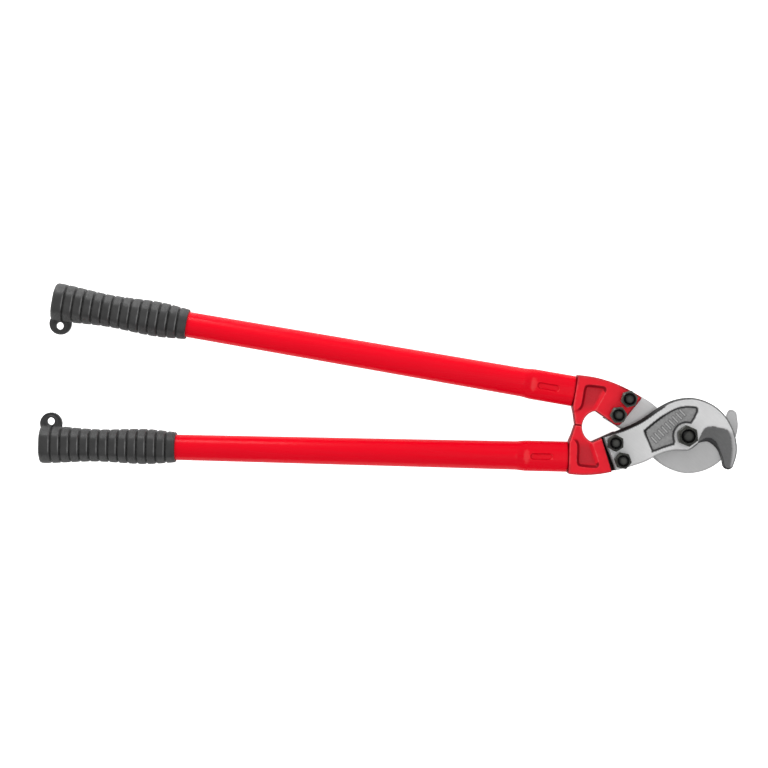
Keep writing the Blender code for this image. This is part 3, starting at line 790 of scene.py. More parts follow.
def ear_surface():
    """Hanging ear: a rounded cross-section, with a raised rim, carried round the hole.

    Its outer reach is the distance to a circle, cut off by the straight line inside the sleeve.
    """
    angles = np.linspace(0, math.tau, 96, endpoint=False)
    cosine, sine = np.cos(angles), np.sin(angles)
    offset = EAR_HOLE_CENTRE[1] - EAR_CENTRE[1]
    reach = -offset * sine + np.sqrt(EAR_RADIUS**2 - (offset * cosine) ** 2)
    floor = EAR_HOLE_CENTRE[1] - ROUND_RADIUS[1] - 1.6
    reach = np.minimum(reach, floor / np.maximum(-sine, 1e-3))
    half = EAR_THICKNESS / 2
    across_wall = np.array([0, 0, 0.06, 0.16, 0.3, 0.38, 0.46, 0.66, 0.74, 0.82, 0.92, 0.98, 1, 1])
    rise = np.array([0, 0.62, 0.9, 0.98, 0.98, 0.88, 0.8, 0.8, 0.9, 1, 1, 0.8, 0.5, 0])
    share = np.concatenate([across_wall, across_wall[-2:0:-1]])
    height = half * np.concatenate([rise, -rise[-2:0:-1]])
    radius = EAR_HOLE + share[:, None] * (reach - EAR_HOLE)
    along = EAR_HOLE_CENTRE[0] + radius * cosine
    across = EAR_HOLE_CENTRE[1] + radius * sine
    ring = np.stack([along, across, np.broadcast_to(height[:, None], along.shape)], -1)
    return grid(ring[::-1], wrap_rows=True, wrap_columns=True)


def grip_masks(points):
    """Grooves, which get painted shade, a painted highlight along the edge where each ridge starts, and
    the sleeve's two outer sides.
    """
    along, across, height = points.T
    share = np.clip(along / RIDGE_PITCH, 0, RIDGES - 0.2) % 1
    sleeve = (np.hypot(across, height) > GRIP_LEAST_HALF - 1.5) & (along > 2) & (across < 17.2)
    # crest: a painted highlight along the edge where each ridge starts.
    crest = ramp(share, 0.06, 0.13) * (1 - ramp(share, 0.14, 0.24))
    return {
        "groove": groove(share) * sleeve,
        "scuffed": crest * sleeve * (1 - ramp(np.abs(across), 3, 11)),
        "outside": ramp(np.abs(across), 7.5, 9.5) * sleeve,
    }


# ------------------------------------------------------------------ fasteners


def chamfer(level, bearing, sign):
    """Height of a 30 degree chamfer: level, less the reach beyond the bearing circle times its slope."""
    slope = sign * math.tan(math.radians(30))
    return lambda reach: level - slope * np.maximum(0, reach - bearing)


def hexagon_rows(flats, low, high, foot, crest):
    """Rows of a hexagon between its two chamfers, from the bearing circle to the upper face."""
    half = flats / 2
    bearing = BEARING_SHARE * half
    rows = []
    if foot:
        rows += [(half * share, chamfer(low, bearing, -1), True) for share in (0.9, 0.94, 0.97)]
        rows += [(half, chamfer(low, bearing, -1), True)]
    else:
        rows += [(half, low, True), (half, low + 0.15, True)]
    rows += [(half, low + share * (high - low), True) for share in (0.25, 0.5, 0.75)]
    if crest:
        rows += [(half * share, chamfer(high, bearing, 1), True) for share in (1, 0.98, 0.96, 0.94)]
    else:
        rows += [(half, high, True)]
    return rows


def lock_nut_surface(thread, flats, height):
    """Lock nut on height 0: bore, washer face, hexagon, rolled collar and the insert's seat."""
    bore = thread / 2 + GAP
    seat = thread / 2 + INSERT_WIDTH
    collar = seat + COLLAR_WALL
    top = height - COLLAR_HEIGHT
    turn = np.linspace(0, math.pi / 2, 4)
    profile = [(bore, 0.4, False), (bore + 0.4, 0, False), (0.445 * flats, 0, False)]
    profile += hexagon_rows(flats, 0, top, True, True)
    profile += [(collar + 0.25, top, False), (collar, top + 0.25, False)]
    profile += [(collar - 0.3 * (1 - math.cos(a)), height - 0.3 * (1 - math.sin(a)), False) for a in turn]
    profile += [(seat + 0.05, height, False), (seat, height - 0.1, False)]
    profile += [(seat, height - INSERT_DEPTH, False), (bore, height - INSERT_DEPTH, False)]
    rows = turned(profile, shape=hexagon)
    return grid(rows, wrap_rows=True, wrap_columns=True)


def insert_surface(thread, height):
    """Nylon ring: a rounded rectangle carried round the bolt."""
    inner, outer = thread / 2 + GAP, thread / 2 + INSERT_WIDTH - GAP
    low, high = height - INSERT_DEPTH + GAP, height - GAP
    corner = 0.25
    turn = np.radians(np.array([0, 30, 60, 90]))
    centres = ((outer - corner, low + corner, -90), (outer - corner, high - corner, 0))
    centres += ((inner + corner, high - corner, 90), (inner + corner, low + corner, 180))
    profile = []
    for x, z, start in centres:
        angle = turn + math.radians(start)
        profile += [(x + corner * math.cos(a), z + corner * math.sin(a), False) for a in angle]
    return grid(turned(profile, steps=72), wrap_rows=True, wrap_columns=True)


def bolt_surface(thread, flats, head, grip, pitch):
    """Bolt, head down: a hexagon head, a shank, and a thread that winds up it.

    In the threaded stretch the radius drops by a triangle wave of height over pitch less the turn.
    """
    shank = thread / 2
    end = head + GAP + grip + THREAD_STANDS_OUT
    steps = 96
    angles = np.linspace(0, math.tau, steps, endpoint=False)
    profile = [(0, 0.35, False), (0.3 * flats, 0.35, False)]
    profile += [(0.36 * flats, 0, False), (0.44 * flats, 0, False)]
    profile += hexagon_rows(flats, 0, head, True, False)
    profile += [(shank + 0.4, head, False), (shank, head + 0.4, False)]
    plain = turned(profile, steps, hexagon)
    rows = np.arange(end - THREADED, end - 0.05, pitch / 8)[:, None]
    wave = np.abs(((rows / pitch - angles[None] / math.tau) % 1) * 2 - 1)
    depth = THREAD_DEPTH_SHARE * pitch * wave * ramp(rows, end - THREADED, end - THREADED + 1.5)
    reach = np.minimum(shank - depth, shank - 0.1 * thread + (end - rows))
    heights = np.broadcast_to(rows, reach.shape)
    threaded = np.stack([reach * np.cos(angles), reach * np.sin(angles), heights], -1)
    closing = [(radius, end, False) for radius in (shank - 0.16 * thread, 0.2 * thread, 0)]
    return welded(grid(np.vstack([plain, threaded, turned(closing, steps)]), wrap_columns=True))


def fastener_masks(points, thread, flats, worn):
    """The hexagon's rims, which get a painted highlight by a share, and painted shade on the thread
    round the bolt's end.
    """
    reach = np.hypot(points[:, 0], points[:, 1])
    return {
        # rim: painted highlight, as bright as the share given in worn; thread: painted shade.
        "rim": worn * ramp(reach, 0.445 * flats, 0.46 * flats),
        "outside": ramp(reach, 0.4 * flats, 0.46 * flats),
        "thread": ramp(reach, 0.31 * thread, 0.37 * thread) * (reach < 0.53 * thread),
    }


def turned_in_plan(surface, degrees, place, height):
    """The surface turned about its own axis, then moved to its place."""
    angle = math.radians(degrees)
    cosine, sine = math.cos(angle), math.sin(angle)
    turn = np.array([(cosine, sine, 0), (-sine, cosine, 0), (0, 0, 1)])
    return Surface(surface.points @ turn + np.array([*place, height]), surface.faces)


# ------------------------------------------------------------------ node helpers


class Graph:
    """Short way to add nodes to a tree and join them."""

    def __init__(self, tree):
        self.tree = tree

    def node(self, kind, inputs=None, **settings):
        made = self.tree.nodes.new(kind)
        for name, value in settings.items():
            setattr(made, name, value)
        for key, value in (inputs or {}).items():
            self.feed(made.inputs[key], value)
        return made

    def feed(self, socket, value):
        if isinstance(value, bpy.types.NodeSocket):
            self.tree.links.new(value, socket)
        else:
            socket.default_value = value

    def math(self, operation, *values, clamp=False):
        made = self.node("ShaderNodeMath", dict(enumerate(values)), operation=operation, use_clamp=clamp)
        return made.outputs[0]

    def mix(self, factor, a, b):
        """Colour a where factor is 0 and b where it is 1."""
        made = self.node("ShaderNodeMix", {0: factor, 6: a, 7: b}, data_type="RGBA")
        return made.outputs[2]

    def spread(self, value, low, high, to_low=0.0, to_high=1.0):
        """The stretch from low to high of a value, spread over another range."""
        inputs = {"Value": value, "From Min": low, "From Max": high, "To Min": to_low, "To Max": to_high}
        return self.node("ShaderNodeMapRange", inputs).outputs[0]

    def attribute(self, name):
        return self.node("ShaderNodeAttribute", attribute_name=name).outputs["Fac"]

    def place(self):
        """Object coordinates."""
        return self.node("ShaderNodeTexCoord").outputs["Object"]

    def noise(self, place, scale, detail, **more):
        """Noise at a place, from 0 to 1."""
        inputs = {"Vector": place, "Scale": scale, "Detail": detail, **more}
        return self.node("ShaderNodeTexNoise", inputs).outputs["Fac"]

    def share(self, mask, amount):
        """A share of a mask."""
        return self.math("MULTIPLY", mask, amount)

    def blend(self, share, mask, base, other):
        """Another colour over the base, by a share of a mask."""
        return self.mix(self.share(mask, share), base, other)

    def group(self, tree, **inputs):
        made = self.node("ShaderNodeGroup", node_tree=tree)
        for name, value in inputs.items():
            self.feed(made.inputs[name], value)
        return made.outputs


def colour(rgb):
    return (*rgb, 1.0)


def new_group(name, inputs, outputs):
    """An empty shader group with number inputs (name and default) and number outputs."""
    tree = bpy.data.node_groups.new(name, "ShaderNodeTree")
    for label, default in inputs:
        socket = tree.interface.new_socket(name=label, in_out="INPUT", socket_type="NodeSocketFloat")
        socket.default_value = default
    for label in outputs:
        tree.interface.new_socket(name=label, in_out="OUTPUT", socket_type="NodeSocketFloat")
    graph = Graph(tree)
    return graph, graph.node("NodeGroupInput").outputs, graph.node("NodeGroupOutput").inputs


def grain_group():
    """Fine grain and slow mottling of a surface, from noise on object coordinates."""
    inputs = [("Grain Scale", 900.0), ("Mottle Scale", 60.0)]
    graph, given, wanted = new_group("surface_grain", inputs, ["Grain", "Mottle"])
    place = graph.place()
    graph.feed(wanted[0], graph.noise(place, given[0], 3.0, Roughness=0.6))
    graph.feed(wanted[1], graph.spread(graph.noise(place, given[1], 4.0, Roughness=0.55), 0.3, 0.7))
    return graph.tree


def scratch_group():
    """Fine lines in one direction: noise on coordinates that are stretched along a turned axis."""
    inputs = [("Across", 900.0), ("Along", 14.0), ("Turn", 0.0)]
    graph, given, wanted = new_group("fine_lines", inputs, ["Lines"])
    turn = graph.node("ShaderNodeCombineXYZ", {"Z": given[2]}).outputs[0]
    size = graph.node("ShaderNodeCombineXYZ", {"X": given[1], "Y": given[0], "Z": given[0]}).outputs[0]
    place = graph.node("ShaderNodeMapping", {"Vector": graph.place(), "Rotation": turn}).outputs[0]
    stretched = graph.node("ShaderNodeVectorMath", {0: place, 1: size}, operation="MULTIPLY").outputs[0]
    graph.feed(wanted[0], graph.spread(graph.noise(stretched, 1.0, 3.0, Roughness=0.7), 0.25, 0.75))
    return graph.tree


def wear_group():
    """Broken wear along edges: the edge mask, eaten into by noise, and limited by an amount."""
    inputs = [("Rim", 0.0), ("Amount", 0.5), ("Break Scale", 250.0), ("Break", 0.6)]
    graph, given, wanted = new_group("edge_wear", inputs, ["Wear"])
    noise = graph.spread(graph.noise(graph.place(), given[2], 4.0), 0.35, 0.65)
    left = graph.math("SUBTRACT", given[0], graph.share(noise, given[3]), clamp=True)
    graph.feed(wanted[0], graph.math("MULTIPLY", left, given[1], clamp=True))
    return graph.tree


EFFECTS = {"grain": grain_group, "lines": scratch_group, "wear": wear_group}
BUILT = {}


def shared(name):
    """The shared effect of that name, built the first time it is asked for."""
    if name not in BUILT:
        BUILT[name] = EFFECTS[name]()
    return BUILT[name]


def grained(graph, grain_scale, mottle_scale):
    """Outputs Grain and Mottle of the grain effect, with its noises at two scales."""
    return graph.group(shared("grain"), **{"Grain Scale": grain_scale, "Mottle Scale": mottle_scale})


def worn(graph, rim, amount, break_scale, broken=0.6):
    """The wear effect's mask over a rim."""
    inputs = {"Rim": rim, "Amount": amount, "Break Scale": break_scale, "Break": broken}
    return graph.group(shared("wear"), **inputs)[0]


def new_finish(name):
    """A new material, its graph and its Principled shader."""
    made = bpy.data.materials.new(name)
    made.use_nodes = True
    graph = Graph(made.node_tree)
    return made, graph, made.node_tree.nodes["Principled BSDF"].inputs


def bump(graph, shader, height, strength, distance):
    """A Bump node from a height to the shader's Normal; the distance is in metres."""
    inputs = {"Height": height, "Strength": strength, "Distance": distance}
    graph.feed(shader["Normal"], graph.node("ShaderNodeBump", inputs).outputs[0])


# ------------------------------------------------------------------ finishes


def steel_finish(sizes):
    """Satin blade steel: a bright face, darker grinds, a rough cast panel, a dark forged side, a darker
    sliding face, a painted highlight on the panel's bars, and painted shade round their feet, along the
    outline, round the panel's border and at the heel.
    """
    made, graph, shader = new_finish("blade_satin_steel")
    grain = grained(graph, 700.0, 45.0)
    cast = grained(graph, 1500.0, 420.0)
    lines = graph.group(shared("lines"), **{"Across": 1400.0, "Along": 60.0, "Turn": 0.6})[0]
    names = ("cast", "bar", "bar_foot", "ground", "steep", "side", "rim", "heel", "sliding")
    panel, bars, feet, ground, steep, side, rim, heel, sliding = (graph.attribute(name) for name in names)

    def shade(tone, share=1.0):
        return colour(share * part for part in tone)

    face = graph.blend(0.4, grain["Mottle"], shade(sizes.face_colour), shade(sizes.face_colour, 0.82))
    face = graph.blend(0.1, lines, face, shade(sizes.ground_colour))
    grind = graph.blend(0.5, lines, shade(sizes.ground_colour, 0.85), shade(sizes.ground_colour, 1.35))
    edge = graph.blend(0.5, lines, shade(sizes.steep_colour, 0.7), shade(sizes.steep_colour, 1.6))
    rough = graph.blend(0.6, cast["Mottle"], shade(sizes.cast_colour), shade(sizes.cast_colour, 0.55))
    # Painted shade round the bars' feet, then a painted highlight on their tops.
    rough = graph.blend(0.7, feet, rough, shade(sizes.cast_colour, 0.35))
    rough = graph.blend(0.9, bars, rough, shade(sizes.cast_colour, 1.4))
    forged = graph.blend(0.5, cast["Mottle"], shade(sizes.side_colour), shade(sizes.side_colour, 0.6))
    base = graph.mix(ground, face, graph.mix(steep, grind, edge))
    base = graph.mix(panel, base, rough)
    base = graph.mix(side, base, forged)
    # The sliding face darker, more so towards the pivot and the jaws.
    base = graph.blend(0.28, sliding, base, shade(sizes.side_colour))
    # Painted shade along the outline and round the panel's border, broken a little by noise, and darker still
    # at the heel.
    scale = worn(graph, rim, 1.0, 500.0, 0.08)
    base = graph.mix(scale, base, shade(sizes.side_colour, 0.45))
    base = graph.blend(heel, rim, base, shade(sizes.side_colour, 0.3))
    graph.feed(shader["Base Color"], base)
    rougher = graph.math("MAXIMUM", panel, side)
    roughness = graph.spread(grain["Grain"], 0.3, 0.7, 0.36, 0.46)
    graph.feed(shader["Roughness"], graph.math("ADD", roughness, graph.share(rougher, 0.16)))
    graph.feed(shader["Metallic"], graph.spread(graph.math("MAXIMUM", rougher, rim), 0.0, 1.0, 0.5, 0.25))
    height = graph.math("ADD", cast["Grain"], cast["Mottle"])
    height = graph.math("MULTIPLY", height, graph.math("ADD", rougher, 0.03))
    honing = graph.math("MULTIPLY", lines, graph.spread(ground, 0.0, 1.0, 0.06, 0.12))
    bump(graph, shader, graph.math("ADD", height, honing), 0.6, 0.00022)
    return made


def socket_finish(sizes):
    """Semi-gloss red paint over a forging: cast grain, paler worn edges, and painted shade on the pocket's
    walls, along the lug's border, on the outer walls and on the blade's seat.
    """
    made, graph, shader = new_finish("socket_red_paint")
    grain = grained(graph, 1300.0, 110.0)
    paint, deep = sizes.paint_colour, colour(c * 0.6 for c in sizes.paint_colour)
    base = graph.blend(0.22, grain["Mottle"], colour(paint), deep)
    dusted = graph.spread(grain["Grain"], 0.35, 0.6)
    floor = graph.blend(0.45, dusted, colour(sizes.pocket_colour), deep)
    base = graph.mix(graph.attribute("cast"), base, floor)
    # Painted shade on the pocket's steep walls.
    base = graph.blend(0.95, graph.attribute("wall"), base, colour(sizes.wall_shade_colour))
    thin = worn(graph, graph.attribute("rim"), 0.5, 300.0, 0.4)
    base = graph.mix(thin, base, colour(sizes.edge_colour))
    # Painted shade along the lug's border and top edge, and on the outer walls.
    shaded = graph.math("MAXIMUM", graph.attribute("nose"), graph.attribute("outside"))
    base = graph.blend(0.9, shaded, base, colour(sizes.wall_shade_colour))
    # Painted shadow on the lug's seat, where the blade covers it.
    base = graph.mix(graph.attribute("seat"), base, colour(sizes.seat_shadow_colour))
    graph.feed(shader["Base Color"], base)
    graph.feed(shader["Roughness"], graph.spread(grain["Mottle"], 0.0, 1.0, 0.36, 0.5))
    shader["Specular IOR Level"].default_value = 0.18
    shader["Coat Weight"].default_value = 0.05
    shader["Coat Roughness"].default_value = 0.2
    rougher = graph.spread(graph.attribute("cast"), 0.0, 1.0, 0.35, 1.0)
    bump(graph, shader, graph.math("MULTIPLY", grain["Grain"], rougher), 0.5, 0.0002)
    return made


def tube_finish(sizes):
    """Glossy red paint on steel tube: faint streaks, orange peel, a painted highlight at the dimple's near
    end and on the press's shoulder, painted shade round the dimple, and a dark joint line at the mouth.
    """
    made, graph, shader = new_finish("tube_red_gloss")
    grain = grained(graph, 420.0, 22.0)
    lines = graph.group(shared("lines"), **{"Across": 190.0, "Along": 5.0, "Turn": 0.0})[0]
    paint = sizes.paint_colour
    streak = (paint[0] * 0.8, paint[1] + 0.002, paint[2] * 1.5)
    base = graph.blend(0.3, lines, colour(paint), colour(streak))
    base = graph.blend(0.12, grain["Mottle"], base, colour(c * 0.7 for c in paint))
    # Painted highlight at the dimple's near end and on the press's shoulder.
    thin = worn(graph, graph.attribute("rim"), 0.25, 400.0)
    base = graph.mix(thin, base, colour(sizes.edge_colour))
    # Painted shade round the dimple, and a dark joint line at the mouth.
    base = graph.blend(0.55, graph.attribute("dent"), base, colour(c * 0.4 for c in paint))
    graph.feed(shader["Base Color"], base)
    graph.feed(shader["Roughness"], graph.spread(lines, 0.0, 1.0, 0.2, 0.3))
    shader["Specular IOR Level"].default_value = 0.12
    shader["Coat Weight"].default_value = 0.04
    shader["Coat Roughness"].default_value = 0.12
    bump(graph, shader, graph.math("ADD", grain["Grain"], graph.share(lines, 0.5)), 0.12, 0.0002)
    return made


def rubber_finish(sizes):
    """Moulded rubber: matt, finely pitted, with painted shade in the grooves and a painted highlight
    where a ridge starts.
    """
    made, graph, shader = new_finish("grip_black_rubber")
    grain = grained(graph, 1100.0, 70.0)
    base = graph.blend(0.5, grain["Mottle"], colour(sizes.rubber_colour), colour(sizes.dust_colour))
    # Painted shade in the grooves.
    grooves = worn(graph, graph.attribute("groove"), 0.95, 500.0)
    base = graph.mix(grooves, base, colour(c * 0.25 for c in sizes.rubber_colour))
    speckle = graph.math("MULTIPLY", graph.spread(grain["Grain"], 0.4, 0.65), graph.attribute("outside"))
    base = graph.blend(0.25, speckle, base, colour(sizes.speck_and_glint_colour))
    # Painted highlight along the edge where each ridge starts.
    ridge_glints = worn(graph, graph.attribute("scuffed"), 0.9, 350.0, 0.3)
    base = graph.mix(ridge_glints, base, colour(sizes.speck_and_glint_colour))
    graph.feed(shader["Base Color"], base)
    graph.feed(shader["Roughness"], graph.spread(grain["Grain"], 0.3, 0.7, 0.42, 0.56))
    shader["Specular IOR Level"].default_value = 0.5
    bump(graph, shader, grain["Grain"], 0.4, 0.0002)
    return made


def fastener_finish(sizes):
    """Black-oxide steel: near black, oily in patches, with a painted highlight at the hexagon's rims and
    painted shade on the thread.
    """
    made, graph, shader = new_finish("fastener_black_oxide")
    grain = grained(graph, 1600.0, 260.0)
    base = graph.mix(grain["Mottle"], colour(sizes.steel_colour), colour(sizes.oil_colour))
    # Painted highlight on the hexagon's rims.
    rim_glint = worn(graph, graph.attribute("rim"), 0.8, 600.0, 0.35)
    base = graph.mix(rim_glint, base, colour(sizes.rim_glint_colour))
    # Painted shade on the thread and the chamfer round the bolt's end.
    base = graph.blend(0.9, graph.attribute("thread"), base, colour(sizes.insert_colour))
    graph.feed(shader["Base Color"], base)
    graph.feed(shader["Metallic"], graph.spread(graph.attribute("outside"), 0.0, 1.0, 0.35, 0.6))
    graph.feed(shader["Roughness"], graph.spread(grain["Grain"], 0.3, 0.7, 0.32, 0.46))
    bump(graph, shader, grain["Grain"], 0.3, 0.0001)
    return made


def insert_finish(sizes):
    """Nylon of the lock nuts' rings: black, with soft wear marks."""
    made, graph, shader = new_finish("insert_black_nylon")
    grain = grained(graph, 900.0, 300.0)
    base = graph.mix(grain["Mottle"], colour(sizes.insert_colour), colour(c * 2 for c in sizes.insert_colour))
    graph.feed(shader["Base Color"], base)
    graph.feed(shader["Roughness"], graph.spread(grain["Grain"], 0.3, 0.7, 0.5, 0.65))
    bump(graph, shader, grain["Grain"], 0.25, 0.0001)
    return made


# ------------------------------------------------------------------ placing


def make_piece(name, node, surface, masks, finish, body, turned_over=False):
    """One finished piece: its surface in the row's frame, its masks as attributes, its material and body."""
    points = surface.points * ((1, -1, -1) if turned_over else (1, 1, 1))
    points = (points + (0, 0, MID_HEIGHT)) * MM
    faces = [face for group in surface.faces for face in group.tolist()]
    mesh = bpy.data.meshes.new(name)
    mesh.from_pydata(points.tolist(), [], faces)
    for label, values in masks.items():
        mesh.attributes.new(label, "FLOAT", "POINT").data.foreach_set("value", values.astype(np.float32))
    mesh.shade_smooth()
    mesh.set_sharp_from_angle(angle=SMOOTH_ANGLE)
    mesh.materials.append(finish)
    piece = bpy.data.objects.new(name, mesh)
    bpy.context.scene.collection.objects.link(piece)
    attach(piece, body)
    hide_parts(node)
    return piece


# ------------------------------------------------------------------ settings


def tint(name, description, default):
    about = {"name": name, "description": description, "default": default}
    return FloatVectorProperty(size=3, subtype="COLOR", min=0, max=1, **about)


def length(name, description, default):
    return FloatProperty(name=name, description=description, default=default, unit="LENGTH", min=0)


def power(name, description, default):
    return FloatProperty(name=name, description=f"{description}, in watts", default=default, min=0)


class CutterBladeSettings(bpy.types.PropertyGroup):
    edge_width: length("Edge width", "Width of the slant that the forging leaves round the face", 0.0017)
    edge_drop: length("Edge drop", "How far that slant falls", 0.0026)
    panel_wall: length("Panel wall", "Width of the sunk panel's sloping wall", 0.0009)
    bar_height: length("Bar height", "How far the panel's bars stand up", 0.0005)
    bar_count: IntProperty(name="Bars", description="Number of raised bars in the panel", default=9, min=2)
    face_colour: tint("Face", "Satin face of the blade", (0.95, 0.95, 0.95))
    ground_colour: tint("Grind", "Wide ground slope", (0.27, 0.27, 0.272))
    steep_colour: tint("Edge grind", "Steep slope at the cutting edge", (0.1, 0.1, 0.104))
    cast_colour: tint("Panel", "Rough floor of the sunk panel", (0.39, 0.39, 0.39))
    side_colour: tint("Side", "Forged side of the blade", (0.075, 0.075, 0.077))


class CutterSocketSettings(bpy.types.PropertyGroup):
    edge_round: length("Edge rounding", "Radius of the forging's outer edges", 0.0014)
    pocket_wall: length("Pocket wall", "Width of the pocket's sloping wall", 0.003)
    arm_drop: length("Arm drop", "How far the stop arm's faces lie below the collar's", 0.002)
    paint_colour: tint("Paint", "Red paint", (0.82, 0.005, 0.02))
    pocket_colour: tint("Pocket", "Dusty paint on the pocket's floor", (0.56, 0.014, 0.026))
    # Painted shade on the pocket's steep walls, along the lug's border and on the outer walls.
    wall_shade_colour: tint("Pocket wall", "Thicker paint on the pocket's steep walls", (0.24, 0.0, 0.006))
    # Painted shadow on the lug's seat under the blade.
    seat_shadow_colour: tint("Seat", "Greasy seat of the blade", (0.03, 0.002, 0.004))
    edge_colour: tint("Edges", "Thin paint on the edges", (0.85, 0.12, 0.13))


class CutterTubeSettings(bpy.types.PropertyGroup):
    lip_round: length("Lip", "Radius of the tube's ends", 0.0008)
    dimple_depth: length("Dimple", "Depth of the staked dimple", 0.0013)
    paint_colour: tint("Paint", "Glossy red paint", (0.81, 0.0, 0.012))
    # Colour of the painted highlight at the dimple's near end and on the press's shoulder.
    edge_colour: tint("Edges", "Thin paint on the pressed edges", (0.9, 0.1, 0.1))


class CutterGripSettings(bpy.types.PropertyGroup):
    groove_depth: length("Groove depth", "Depth of the grooves between the ridges", 0.0013)
    end_round: length("End rounding", "Radius of the grip's closed end", 0.0032)
    rubber_colour: tint("Rubber", "Black rubber", (0.038, 0.038, 0.038))
    dust_colour: tint("Dust", "Rubber with a bloom of dust", (0.068, 0.068, 0.068))
    # Specks on the sleeve's sides, and the painted highlight along the edge where each ridge starts.
    speck_and_glint_colour: tint("Scuffs", "Scuffed edges of the ridges", (0.2, 0.2, 0.2))


class CutterFastenerSettings(bpy.types.PropertyGroup):
    pivot_pitch: length("Pivot pitch", "Pitch of the pivot bolt's thread", 0.0015)
    clamp_pitch: length("Clamp pitch", "Pitch of the clamp bolts' threads", 0.00125)
    steel_colour: tint("Steel", "Black-oxide steel", (0.045, 0.048, 0.046))
    oil_colour: tint("Oil", "Oily patches", (0.08, 0.08, 0.07))
    # Colour of the painted highlight on the hexagons' rims.
    rim_glint_colour: tint("Worn steel", "Rims where the oxide has worn thin", (0.23, 0.235, 0.21))
    insert_colour: tint("Insert", "Nylon ring", (0.004, 0.004, 0.004))


class CutterStageSettings(bpy.types.PropertyGroup):
    floor_colour: tint("Floor", "Pale floor", (0.93, 0.93, 0.93))
    camera_place: FloatVectorProperty(
        name="Camera", description="Where the camera stands", default=(-0.2500, 0.0502, 1.5668), unit="LENGTH"
    )
    camera_turn: FloatVectorProperty(
        name="Camera turn",
        description="Camera's turns about Z, then Y, then X",
        default=(math.radians(-1.167), math.radians(0.45), math.radians(5.591)),
        subtype="EULER",
    )
    camera_lens: FloatProperty(name="Lens", description="Focal length in millimetres", default=84.4, min=1)
    ambient: FloatProperty(name="Ambient", description="Soft light from all round", default=0.85, min=0)
    top_power: power("Top light", "Power of the light above", 3.4)
    side_power: power("Side light", "Power of the side light", 1.5)
    strip_power: power("Low strip", "Power of the low strip", 5)
    grip_power: power("Grip light", "Power of the light by the grips", 1.4)


# ------------------------------------------------------------------ operators


class BuildBlades(bpy.types.Operator):
    """Build the front and the rear blade"""

    bl_idname = "cutter.build_blades"
    bl_label = "Blades"

    def execute(self, context):
        sizes = context.scene.cutter_blade
        surface = blade_surface(sizes)
        masks = blade_masks(surface.points, sizes)
        finish = steel_finish(sizes)
        make_piece("front_blade", "blade_front", surface, masks, finish, "lower_half")
        make_piece("rear_blade", "blade_rear", surface, masks, finish, "upper_half", True)
        return {"FINISHED"}


class BuildSockets(bpy.types.Operator):
    """Build the two forged sockets with their tangs"""

    bl_idname = "cutter.build_sockets"
    bl_label = "Sockets"

    def execute(self, context):
        sizes = context.scene.cutter_socket
        surface = socket_surface(sizes)
        masks = socket_masks(surface.points, sizes)
        finish = socket_finish(sizes)
        make_piece("upper_socket", "socket_upper", surface, masks, finish, "upper_half")
        make_piece("lower_socket", "socket_lower", surface, masks, finish, "lower_half", True)
        return {"FINISHED"}


class BuildTubes(bpy.types.Operator):
    """Build the two painted handle tubes"""

    bl_idname = "cutter.build_tubes"
    bl_label = "Tubes"

    def execute(self, context):
        sizes = context.scene.cutter_tube
        surface = tube_surface(sizes)
        masks = tube_masks(surface.points)
        placed = Surface(in_tool(surface.points), surface.faces)
        finish = tube_finish(sizes)
        make_piece("upper_tube", "tube_upper", placed, masks, finish, "upper_half")
        make_piece("lower_tube", "tube_lower", placed, masks, finish, "lower_half", True)
        return {"FINISHED"}


class BuildGrips(bpy.types.Operator):
    """Build the two ribbed rubber grips with their hanging ears"""

    bl_idname = "cutter.build_grips"
    bl_label = "Grips"

    def execute(self, context):
        sizes = context.scene.cutter_grip
        surface = grip_surface(sizes)
        masks = grip_masks(surface.points)
        placed = Surface(in_tool(surface.points + (GRIP_START, 0, 0)), surface.faces)
        finish = rubber_finish(sizes)
        make_piece("upper_grip", "grip_upper", placed, masks, finish, "upper_half")
        make_piece("lower_grip", "grip_lower", placed, masks, finish, "lower_half", True)
        return {"FINISHED"}


